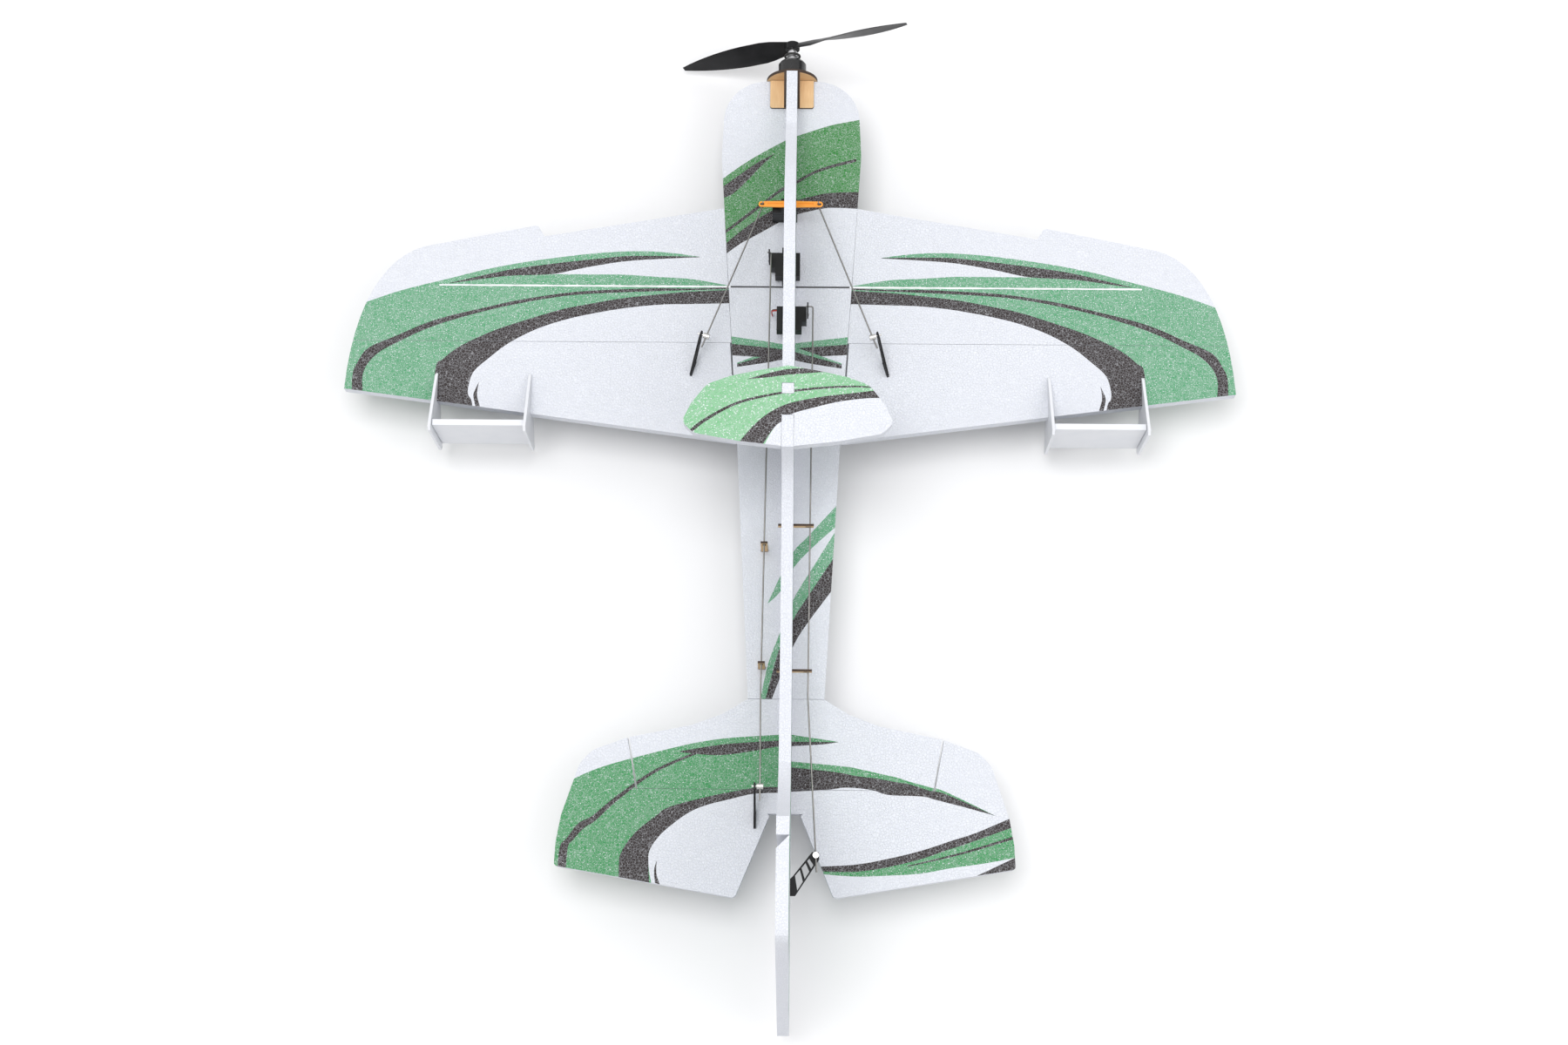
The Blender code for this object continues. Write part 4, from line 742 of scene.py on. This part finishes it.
# printed pattern of the flat plates in millimetres, seen from above, forward is up
wingPrint = [
    patch("green", smoothLine([
        (83, 29), (113, 33), (142, 34), (175, 32), (208, 28), (246, 22), (279, 15), (308, 7),
        (338, -1), (361, -8), (387, -18),
    ]) + [(410, -22), (410, -160), (284, -160)] + smoothLine([
        (284, -114), (288, -105), (288, -96), (284, -83), (272, -71), (254, -56), (231, -43),
        (207, -34), (184, -28), (153, -22), (120, -18), (89, -17), (50, -16),
    ]) + smoothLine([
        (50, 0), (89, 7), (120, 9), (151, 11), (184, 11), (218, 11),
    ]) + smoothLine([
        (194, 16), (175, 20), (142, 25), (83, 29),
    ])),
    stripe("dark", [
        (83, 29), (142, 29.5), (175, 26.5), (208, 22.5), (246, 17), (270, 12), (310, 2),
    ], [
        (83, 28.5), (142, 25), (175, 20), (194, 16), (218, 11), (251, 9.5), (270, 7.5),
        (310, 1.5),
    ]),
    stripe("dark", [
        (50, 0), (89, -2), (125, -2), (184, -5), (217, -9), (250, -15), (278, -22), (309, -30),
        (332, -38), (355, -49), (380, -61), (389, -74), (393, -85), (393, -101),
    ], [
        (50, -2), (89, -3.6), (125, -5), (184, -8), (217, -12), (250, -18.5), (278, -25.5),
        (309, -35), (332, -44), (355, -56), (370, -65), (380, -76), (384, -88), (383, -102),
    ]),
    stripe("dark", [
        (50, -3), (89, -5), (120, -8), (153, -12), (184, -18), (207, -23), (238, -33), (268, -44),
        (296, -58), (312, -71), (319, -83), (319, -150),
    ], [
        (50, -16), (89, -17), (120, -18), (153, -22), (184, -28), (207, -34), (231, -43),
        (254, -56), (272, -71), (284, -83), (288, -96), (288, -105), (284, -114), (281, -150),
    ]),
    stripe("dark", [
        (279, -93), (283, -103), (283, -108), (281, -116),
    ], [
        (279, -93), (280, -105), (277, -116),
    ]),
]
nosePrint = [
    stripe("deep", [
        (-66, 104), (-47, 119), (-31, 130), (-11, 142), (1, 148), (20, 155), (38, 161), (66, 167),
    ], [
        (-66, 27), (-46, 42), (-34, 49), (-11, 63), (2, 70), (24, 76), (38, 78), (66, 77),
    ]),
    stripe("dark", [
        (-66, 96), (-47, 111), (-31, 123), (-15, 132),
    ], [
        (-66, 86), (-54, 91), (-41, 104), (-29, 118), (-15, 132),
    ]),
    stripe("dark", [
        (-66, 50), (-38, 73.5), (-22, 86.5), (-10, 96.5), (1, 102.5), (20, 114), (38, 121),
        (60, 127),
    ], [
        (-66, 47), (-35, 72), (-21, 84), (-10, 93), (3, 100), (20, 111), (38, 118), (60, 124),
    ]),
    stripe("dark", [
        (-66, 35), (-52, 49), (-34, 64), (-19, 74), (2, 84), (26, 91), (38, 93), (66, 94),
    ], [
        (-66, 26), (-46, 42), (-34, 49), (-11, 63), (2, 70), (24, 76), (38, 78), (66, 77),
    ]),
]
crossPrint = [
    stripe("green", [
        (60, -46), (52, -48), (6, -54), (-14, -60), (-47, -73),
    ], [
        (60, -54), (52, -55), (6, -59), (-14, -64), (-47, -74),
    ]),
    stripe("dark", [
        (60, -54), (52, -55), (6, -59), (-14, -64), (-47, -74),
    ], [
        (60, -64), (52, -65), (6, -68), (-22, -73), (-47, -77),
    ]),
    stripe("green", [
        (-60, -46), (-52, -48), (-6, -55), (14, -61), (47, -73),
    ], [
        (-60, -54), (-52, -55), (-6, -60), (14, -65), (47, -74),
    ]),
    stripe("dark", [
        (-60, -54), (-52, -55), (-6, -60), (14, -65), (47, -74),
    ], [
        (-60, -65), (-52, -66), (-6, -69), (22, -74), (47, -78),
    ]),
]
rearPrint = [
    stripe("green", [
        (48, -200), (17, -235), (6, -247), (-6, -270), (-17, -295),
    ], [
        (48, -220), (22, -244), (6, -262), (-6, -284), (-17, -295),
    ]),
    stripe("green", [
        (44, -226), (23, -261), (6, -290), (-6, -321), (-16, -349), (-23, -384),
    ], [
        (44, -248), (17, -290), (6, -308), (-6, -334), (-19, -384),
    ]),
    stripe("dark", [
        (44, -248), (17, -290), (6, -308), (-6, -334), (-19, -384),
    ], [
        (44, -276), (18, -312), (6, -332), (-6, -362), (-14, -384),
    ]),
]
# the tail ink is the green print with painted shade added
tailPrint = [
    patch("tail", smoothLine([
        (-200, -458), (-188, -453), (-167, -443), (-144, -435), (-92, -421), (-68, -416),
        (-46, -413), (-5, -410),
    ]) + smoothLine([
        (-5, -460), (-27, -461), (-48, -466), (-67, -471), (-81, -477), (-95, -487), (-106, -497),
        (-114, -509), (-115, -521), (-112, -538),
    ]) + [(-112, -570), (-210, -570), (-210, -458)]),
    stripe("dark", [
        (-90, -425), (-68, -421), (-46, -418), (-5, -415),
    ], [
        (-90, -426), (-53, -428), (-5, -420),
    ]),
    stripe("dark", [
        (-5, -455), (-27, -456), (-67, -464), (-99, -473), (-109, -480), (-123, -491),
        (-132, -501), (-138, -511), (-140, -521), (-139, -560),
    ], [
        (-5, -460), (-27, -461), (-48, -466), (-67, -471), (-81, -477), (-95, -487), (-106, -497),
        (-114, -509), (-115, -521), (-112, -560),
    ]),
    stripe("dark", [
        (-68, -422), (-110, -440), (-144, -464), (-164, -481), (-175, -487), (-185, -500),
        (-191, -511), (-192, -560),
    ], [
        (-68, -424), (-110, -443), (-143, -468), (-161, -485), (-170, -491), (-179, -501),
        (-184, -511), (-185, -560),
    ]),
    stripe("dark", [
        (-108, -518), (-110, -526), (-109, -537),
    ], [
        (-108, -518), (-108, -529), (-105, -538),
    ]),
    stripe("tail", [
        (5, -410), (19, -412), (33, -414), (46, -416),
    ], [
        (5, -416), (19, -416), (33, -416), (46, -416),
    ]),
    stripe("dark", [
        (5, -416), (19, -416), (33, -416), (46, -416),
    ], [
        (5, -420), (19, -419), (33, -418), (46, -416),
    ]),
    stripe("tail", [
        (5, -433), (51, -437), (63, -439), (81, -443), (95, -446), (108, -450), (123, -454),
        (137, -458), (179, -478),
    ], [
        (5, -438), (44, -442), (60, -445), (78, -447), (95, -450), (107, -452), (123, -457),
        (137, -460), (179, -478),
    ]),
    stripe("dark", [
        (5, -438), (44, -442), (60, -445), (78, -447), (95, -450), (107, -452), (123, -457),
        (137, -460), (179, -478),
    ], [
        (5, -459), (36, -457), (53, -455), (74, -457), (88, -461), (116, -462), (129, -465),
        (153, -471), (179, -478),
    ]),
    stripe("tail", [
        (28, -522), (60, -520), (87, -515), (115, -508), (142, -499), (163, -492), (200, -476),
    ], [
        (28, -528), (60, -530), (87, -529), (115, -527), (142, -522), (169, -518), (200, -512),
    ]),
    stripe("dark", [
        (28, -522), (60, -520), (87, -515), (115, -508), (142, -499), (163, -492), (200, -476),
    ], [
        (28, -526), (60, -526), (87, -522), (115, -515), (135, -508), (156, -501), (200, -485),
    ]),
    stripe("dark", [
        (104, -520.5), (128, -514.5), (156, -507), (200, -493),
    ], [
        (104, -521.5), (128, -516), (156, -509), (200, -495.5),
    ]),
    patch("dark", [(161, -529), (200, -512), (200, -523), (180, -526)]),
]
canalyserPrint = [
    patch("pale", [(-100, -200), (-100, -100), (100, -100), (100, -144)] + smoothLine([
        (80, -145), (67, -145), (44, -148), (20, -154), (4, -159), (-2, -164), (-11, -171),
        (-21, -190),
    ])),
    stripe("dark", [
        (-35, -129), (-15, -123), (-2, -120), (12, -119), (20, -120), (32, -122),
    ], [
        (-35, -129), (-15, -127), (-2, -125), (20, -123), (32, -122),
    ]),
    stripe("dark", [
        (-84, -176), (-70, -164), (-43, -149), (-12, -141), (20, -136), (51, -134), (74, -135),
    ], [
        (-82, -178), (-68, -166), (-43, -151.5), (-12, -143), (20, -138), (51, -135.6),
        (74, -136),
    ]),
    stripe("dark", [
        (-45, -190), (-27, -168), (-12, -156), (4, -149), (28, -144), (51, -141), (74, -138),
    ], [
        (-23, -190), (-11, -171), (-2, -164), (4, -159), (20, -154), (44, -148), (67, -145),
        (80, -145),
    ]),
]
# upright plates: how far forward, then how high
sidePrint = [
    patch("dark", smoothLine([
        (128, 124), (96, 152), (60, 174), (30, 183), (-40, 184), (-84, 180),
    ]) + smoothLine([
        (-84, 170), (-30, 158), (40, 142), (84, 130), (128, 118),
    ])),
    stripe("green", [
        (215, 88), (150, 104), (80, 122), (0, 136), (-90, 138), (-190, 122), (-300, 112),
        (-420, 130), (-480, 180), (-524, 262),
    ], [
        (215, 80), (150, 88), (80, 98), (0, 108), (-90, 112), (-190, 104), (-300, 96),
        (-420, 102), (-480, 126), (-524, 172),
    ]),
    stripe("dark", [
        (215, 80), (150, 88), (80, 98), (0, 108), (-90, 112), (-190, 104), (-300, 96),
        (-420, 102), (-480, 126), (-524, 172),
    ], [
        (150, 84), (120, 88), (80, 92), (0, 99), (-90, 101), (-190, 97), (-300, 91), (-420, 94),
        (-480, 112), (-524, 146),
    ]),
]
rudderPrint = [
    stripe("green", [
        (-510, 250), (-560, 300), (-620, 320), (-700, 320),
    ], [
        (-510, 160), (-560, 214), (-610, 236), (-700, 246),
    ]),
    stripe("dark", [
        (-510, 164), (-560, 214), (-610, 236), (-700, 246),
    ], [
        (-510, 138), (-560, 188), (-610, 214), (-700, 226),
    ]),
    stripe("green", [
        (-510, 84), (-560, 96), (-620, 118), (-700, 150),
    ], [
        (-510, 60), (-560, 62), (-620, 72), (-700, 90),
    ]),
]
bellyPrint = [
    stripe("green", [
        (215, 58), (120, 36), (20, 26), (-100, 28), (-220, 44), (-330, 60), (-420, 66),
    ], [
        (215, 44), (120, 14), (20, 4), (-100, 8), (-220, 28), (-330, 48), (-420, 62),
    ]),
    stripe("dark", [
        (180, 66), (120, 48), (20, 38), (-100, 40), (-220, 54), (-330, 66), (-420, 68),
    ], [
        (180, 64), (120, 42), (20, 32), (-100, 34), (-220, 50), (-330, 63), (-420, 67),
    ]),
]

tops = {n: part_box(n)[1] for n in nodes}
lows = {n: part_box(n)[0] for n in nodes}
for side, look in (("left", mirrored(wingPrint)), ("right", wingPrint)):
    for node in ("wing_" + side, "aileron_" + side):
        printedPlate(node, 2, (tops[node].z, lows[node].z), look)
platePrint = nosePrint + crossPrint + rearPrint
for node, look in (("fuselage_plate", platePrint), ("tailplane", tailPrint), ("elevator", tailPrint)):
    printedPlate(node, 2, (tops[node].z, lows[node].z), look)
printedPlate("canalyser_plate", 2, (tops["canalyser_plate"].z,), canalyserPrint)

# the upright patterns move and shrink with the height of the flat plates
drawnTop = 80 * mm  # they are drawn for this height
lift = plateTop - drawnTop
squeeze = plateTop / drawnTop
sidePrint, rudderPrint = (
    [(ink, [(y, z + lift) for y, z in shape]) for ink, shape in look] for look in (sidePrint, rudderPrint)
)
bellyPrint = [(ink, [(y, z * squeeze) for y, z in shape]) for ink, shape in bellyPrint]
uprights = dict(fuselage_side_upper=sidePrint, fuselage_side_lower=bellyPrint, rudder=rudderPrint)
for node, look in uprights.items():
    printedPlate(node, 0, (tops[node].x, lows[node].x), look)
print("foam plates printed")

# white glue over the wing spar, as an uneven low arch
glueBead = dict(
    width=1.7 * mm,
    height=0.45 * mm,
    uneven=(0.8, 1.1),
    step=4 * mm,
    wander=0.2 * mm,
    drift=0.4,
    sink=0.05 * mm,
    tipInset=1.5 * mm,
    rootGap=0.4 * mm,
    arch=[(-1, 0), (-0.8, 0.55), (-0.4, 0.92), (0, 1), (0.4, 0.92), (0.8, 0.55), (1, 0)],
)


def layGlue(name, start, end, z):
    bm = bmesh.new()
    count = int((end - start) / glueBead["step"])
    rows = []
    for i in range(count + 1):
        x = start + (end - start) * i / count
        half = glueBead["width"] / 2 + dice.uniform(-1, 1) * glueBead["wander"]
        shift = dice.uniform(-1, 1) * glueBead["wander"] * glueBead["drift"]
        top = glueBead["height"] * dice.uniform(*glueBead["uneven"])
        rows.append([bm.verts.new((x, shift + u * half, z + v * top)) for u, v in glueBead["arch"]])
    for a, b in zip(rows, rows[1:]):
        for k in range(len(a) - 1):
            bm.faces.new((a[k], a[k + 1], b[k + 1], b[k]))
        bm.faces.new((a[0], b[0], b[-1], a[-1]))
    bm.faces.new(rows[0])
    bm.faces.new(rows[-1])
    finishPiece(name, bm, glueWhite, "airframe", 60)


wingRoot, sparTip = lows["wing_right"].x, tops["wing_spar"].x
for side, sign in (("left", -1), ("right", 1)):
    ends = sorted((sign * (wingRoot + glueBead["tipInset"]), sign * (sparTip + glueBead["rootGap"])))
    layGlue("spar_glue_" + side, ends[0], ends[1], tops["wing_right"].z - glueBead["sink"])
nodes["wing_spar"].material_slots[0].material = carbonRod
print("spar glued in")


# moulded, turned and cut parts: the CAD shape with eased edges
def easedPart(node, material, width, angle=40, steps=2, shade=35):
    bm = nodeMesh(node)
    if width:
        roundEdges(bm, width, angle, steps)
    standIn(node, node + "_shape", bm, material, shade)


# finish and edge width in millimetres
easedParts = dict(
    brake_left_inner=(brakeWhite, 0.25),
    brake_left_outer=(brakeWhite, 0.25),
    brake_right_inner=(brakeWhite, 0.25),
    brake_right_outer=(brakeWhite, 0.25),
    brake_left_panel=(brakeWhite, 0.5),
    brake_right_panel=(brakeWhite, 0.5),
    motor_firewall=(plyAcross, 0.12),
    mount_plate_left=(plyFlat, 0.12),
    mount_plate_right=(plyFlat, 0.12),
    mount_cheek_left=(plyUpright, 0.12),
    mount_cheek_right=(plyUpright, 0.12),
    motor_base=(alloy, 0.15),
    motor_shaft=(steel, 0.1),
    prop_saver=(alloy, 0.15),
    propeller=(propBlack, 0),
    rod_guide_elevator_1=(plyAcross, 0.1),
    rod_guide_elevator_2=(plyAcross, 0.1),
    rod_guide_rudder_1=(plyAcross, 0.1),
    rod_guide_rudder_2=(plyAcross, 0.1),
    arm_elevator=(servoArm, 0.15),
    arm_rudder=(servoArm, 0.15),
    horn_aileron_left=(hornBlack, 0.12),
    horn_aileron_right=(hornBlack, 0.12),
    horn_elevator=(hornBlack, 0.12),
    horn_rudder=(hornBlack, 0.12),
    stopper_aileron_left=(stopperSteel, 0.12),
    stopper_aileron_right=(stopperSteel, 0.12),
    stopper_elevator=(stopperSteel, 0.12),
    stopper_rudder=(stopperSteel, 0.12),
    tail_skid=(servoBlack, 0.2),
    battery_strap=(strapWeave, 0.25),
)
for node, (material, width) in easedParts.items():
    easedPart(node, material, width * mm, 50)
for node in ("pushrod_aileron_left", "pushrod_aileron_right", "pushrod_elevator", "pushrod_rudder"):
    easedPart(node, steel, 0, shade=50)
easedPart("saver_o_ring", rubber, 0, shade=80)

# the aileron arm has a shallow channel along each half
armLook = dict(start=6.5 * mm, end=20.5 * mm, wide=1.9 * mm, deep=0.6 * mm, edge=0.15 * mm)
low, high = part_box("arm_aileron")
middle = (low.y + high.y) / 2
half = armLook["wide"] / 2
arm = nodeMesh("arm_aileron")
roundEdges(arm, armLook["edge"], 50)
channels = []
for sign in (-1, 1):
    ends = sorted((sign * armLook["start"], sign * armLook["end"]))
    foot = (ends[0], middle - half, high.z - armLook["deep"])
    channels.append(block(foot, (ends[1], middle + half, high.z + mm)))
standIn("arm_aileron", "arm_aileron_shape", carve(arm, channels), armOrange)
print("small parts eased")

# black motor bell with slots in its front
bellLook = dict(slots=7, slotWide=2.4 * mm, slotIn=6.2 * mm, slotOut=10.2 * mm, slotDeep=2.2 * mm)
motorAxis = Vector((0, 0, (lows["motor_bell"].z + tops["motor_bell"].z) / 2))
bellFront = tops["motor_bell"].y
cutters = []
for i in range(bellLook["slots"]):
    half = bellLook["slotWide"] / 2
    inner = (bellLook["slotIn"], bellFront - bellLook["slotDeep"], -half)
    cutter = block(inner, (bellLook["slotOut"], bellFront + mm, half))
    spin = Matrix.Rotation(math.tau * i / bellLook["slots"], 3, "Y")
    for v in cutter.verts:
        v.co = spin @ v.co + motorAxis
    cutters.append(cutter)
standIn("motor_bell", "motor_bell_shape", carve(nodeMesh("motor_bell"), cutters), bellBlack)
for node in ("motor_screw_left", "motor_screw_right"):
    low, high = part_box(node)
    middle = (low + high) / 2
    head = screwHead((middle.x, low.y, middle.z), (0, 1, 0), (high.x - low.x) / 2, high.y - low.y)
    standIn(node, node + "_shape", head, steel)
print("motor built")

# servos: cases with seams, and a screw on each arm
servoLook = dict(
    seamDeep=0.25 * mm,
    seamWide=0.35 * mm,
    edge=0.18 * mm,
    body=22.8 * mm,  # case length without its lugs
    lid=4.5 * mm,
    top=18.5 * mm,
)


def seamRing(low, high, axis, at):
    # a thin frame round a case, cut out to leave a seam
    deep, wide = servoLook["seamDeep"], servoLook["seamWide"]
    outer = [list(low), list(high)]
    inner = [list(low), list(high)]
    for i in range(3):
        if i == axis:
            outer[0][i], outer[1][i] = at - wide / 2, at + wide / 2
            inner[0][i], inner[1][i] = at - wide, at + wide
        else:
            outer[0][i] -= mm
            outer[1][i] += mm
            inner[0][i] += deep
            inner[1][i] -= deep
    return carve(block(*outer), [block(*inner)])


def buildServo(node, axis, seams):
    low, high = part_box(node)
    caseLow, caseHigh = Vector(low), Vector(high)
    if node != "servo_aileron":  # the other two lie with their lugs fore and aft
        spare = (high.y - low.y - servoLook["body"]) / 2
        caseLow.y += spare
        caseHigh.y -= spare
    bm = carve(nodeMesh(node), [seamRing(caseLow, caseHigh, axis, at) for at in seams])
    obj = standIn(node, node + "_case", bm, servoBlack)
    ease = obj.modifiers.new("eased", "BEVEL")
    ease.width = servoLook["edge"]
    ease.segments = 2
    ease.limit_method = "ANGLE"
    ease.angle_limit = math.radians(50)


foot = lows["servo_aileron"].z
buildServo("servo_aileron", 2, [foot + servoLook["lid"], foot + servoLook["top"]])
buildServo("servo_elevator", 0, [tops["servo_elevator"].x - servoLook["lid"]])
buildServo("servo_rudder", 0, [lows["servo_rudder"].x + servoLook["lid"]])

# each arm's screw: the way it faces, its radius and its height
armScrews = dict(
    aileron=((0, 0, 1), 1.7 * mm, 1.1 * mm),
    elevator=((-1, 0, 0), 1.5 * mm, 0.9 * mm),
    rudder=((1, 0, 0), 1.5 * mm, 0.9 * mm),
)
screwSink = 0.4 * mm
pivots = {j["name"]: j["pos_m"] for j in frame["record"]["behaviour"]["joints"]}
for kind, (facing, radius, height) in armScrews.items():
    low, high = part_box("arm_" + kind)
    centre = list(pivots["arm_" + kind + "_turn"])
    for i in range(3):
        if facing[i]:
            centre[i] = (high if facing[i] > 0 else low)[i] - facing[i] * screwSink
    finishPiece("arm_screw_" + kind, screwHead(centre, facing, radius, height), steel, "arm_" + kind)
print("servos built")

# two cores of the lead where it leaves the rudder servo's case, points in millimetres from there
leadLook = dict(
    core=0.55 * mm,
    inset=5.8 * mm,
    pitch=1.1 * mm,
    path=[(2.0, 0, 0), (0, 0, 0), (-3.6, 0, -1), (-4.8, 1, -8)],
    end=(-4.2, 2),  # where it meets the flat plate
)
low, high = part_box("servo_rudder")
for k, (tone, skin) in enumerate((("brown", leadBrown), ("red", leadRed))):
    x, y, z = low.x, high.y - leadLook["inset"] - k * leadLook["pitch"], (low.z + high.z) / 2
    path = [(x + a * mm, y + b * mm, z + c * mm) for a, b, c in leadLook["path"]]
    path.append((x + leadLook["end"][0] * mm, y + leadLook["end"][1] * mm, plateTop + leadLook["core"]))
    lead = tube(smoothLine(path, 4), leadLook["core"])
    finishPiece("servo_lead_" + tone, lead, skin, "airframe", 60)
print("servo lead laid")

# battery in its shrink wrap, speed controller and receiver, with the width of their soft edges
packLook = dict(battery=2.2 * mm, controller=1.6 * mm, receiver=0.8 * mm)
easedPart("battery", wrapBlue, packLook["battery"], steps=4, shade=40)
easedPart("speed_controller", shrinkBlack, packLook["controller"], steps=4, shade=40)
easedPart("receiver", servoBlack, packLook["receiver"], steps=3, shade=40)

pinLook = dict(rows=3, columns=6, pitch=2.54 * mm, half=0.32 * mm, out=1.2 * mm, sunk=0.5 * mm, start=8 * mm)
low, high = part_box("receiver")
pins = []
for row in range(pinLook["rows"]):
    for column in range(pinLook["columns"]):
        half = pinLook["half"]
        y = low.y + pinLook["start"] + column * pinLook["pitch"]
        z = (low.z + high.z) / 2 + (row - 1) * pinLook["pitch"]
        end = (low.x + pinLook["sunk"], y + half, z + half)
        pins.append(block((low.x - pinLook["out"], y - half, z - half), end))
finishPiece("receiver_pins", joined(pins), brassPin, "airframe")
print("power and radio gear built")

# pale floor, white surroundings and soft lamps
studio = dict(
    floorSize=14.0,
    floorPlace=(0, -0.2, -0.5 * mm),
    floorTone=(0.77, 0.77, 0.78, 1),
    floorRough=0.9,
    sky=0.92,
    aim=(0, -0.2, 0.1),
    key=dict(place=(-0.35, -0.15, 2.7), size=1.5, power=38.0),
    fill=dict(place=(1.6, -0.6, 1.8), size=1.8, power=12.0),
)
bm = bmesh.new()
bmesh.ops.create_grid(bm, x_segments=2, y_segments=2, size=studio["floorSize"])
floor = sceneObject("studioFloor", bm)
floor.location = studio["floorPlace"]
floorMaterial, tree, shader = newMaterial("floorPaper")
shader.inputs["Base Color"].default_value = studio["floorTone"]
shader.inputs["Roughness"].default_value = studio["floorRough"]
addBump(tree, shader, noise(tree, partPoint(tree), 120.0), 0.02, 0.5 * mm)
floor.data.materials.append(floorMaterial)

world = bpy.data.worlds.new("studioSky")
world.use_nodes = True
world.node_tree.nodes["Background"].inputs["Color"].default_value = (1, 1, 1, 1)
world.node_tree.nodes["Background"].inputs["Strength"].default_value = studio["sky"]
bpy.context.scene.world = world

for name in ("key", "fill"):
    look = studio[name]
    lamp = bpy.data.objects.new(name + "Lamp", bpy.data.lights.new(name + "Lamp", "AREA"))
    lamp.data.shape = "RECTANGLE"
    lamp.data.size = lamp.data.size_y = look["size"]
    lamp.data.energy = look["power"]
    lamp.location = look["place"]
    lamp.rotation_euler = (Vector(studio["aim"]) - lamp.location).to_track_quat("-Z", "Y").to_euler()
    bpy.context.scene.collection.objects.link(lamp)
bpy.context.scene.view_settings.view_transform = "Standard"
print("studio lit")
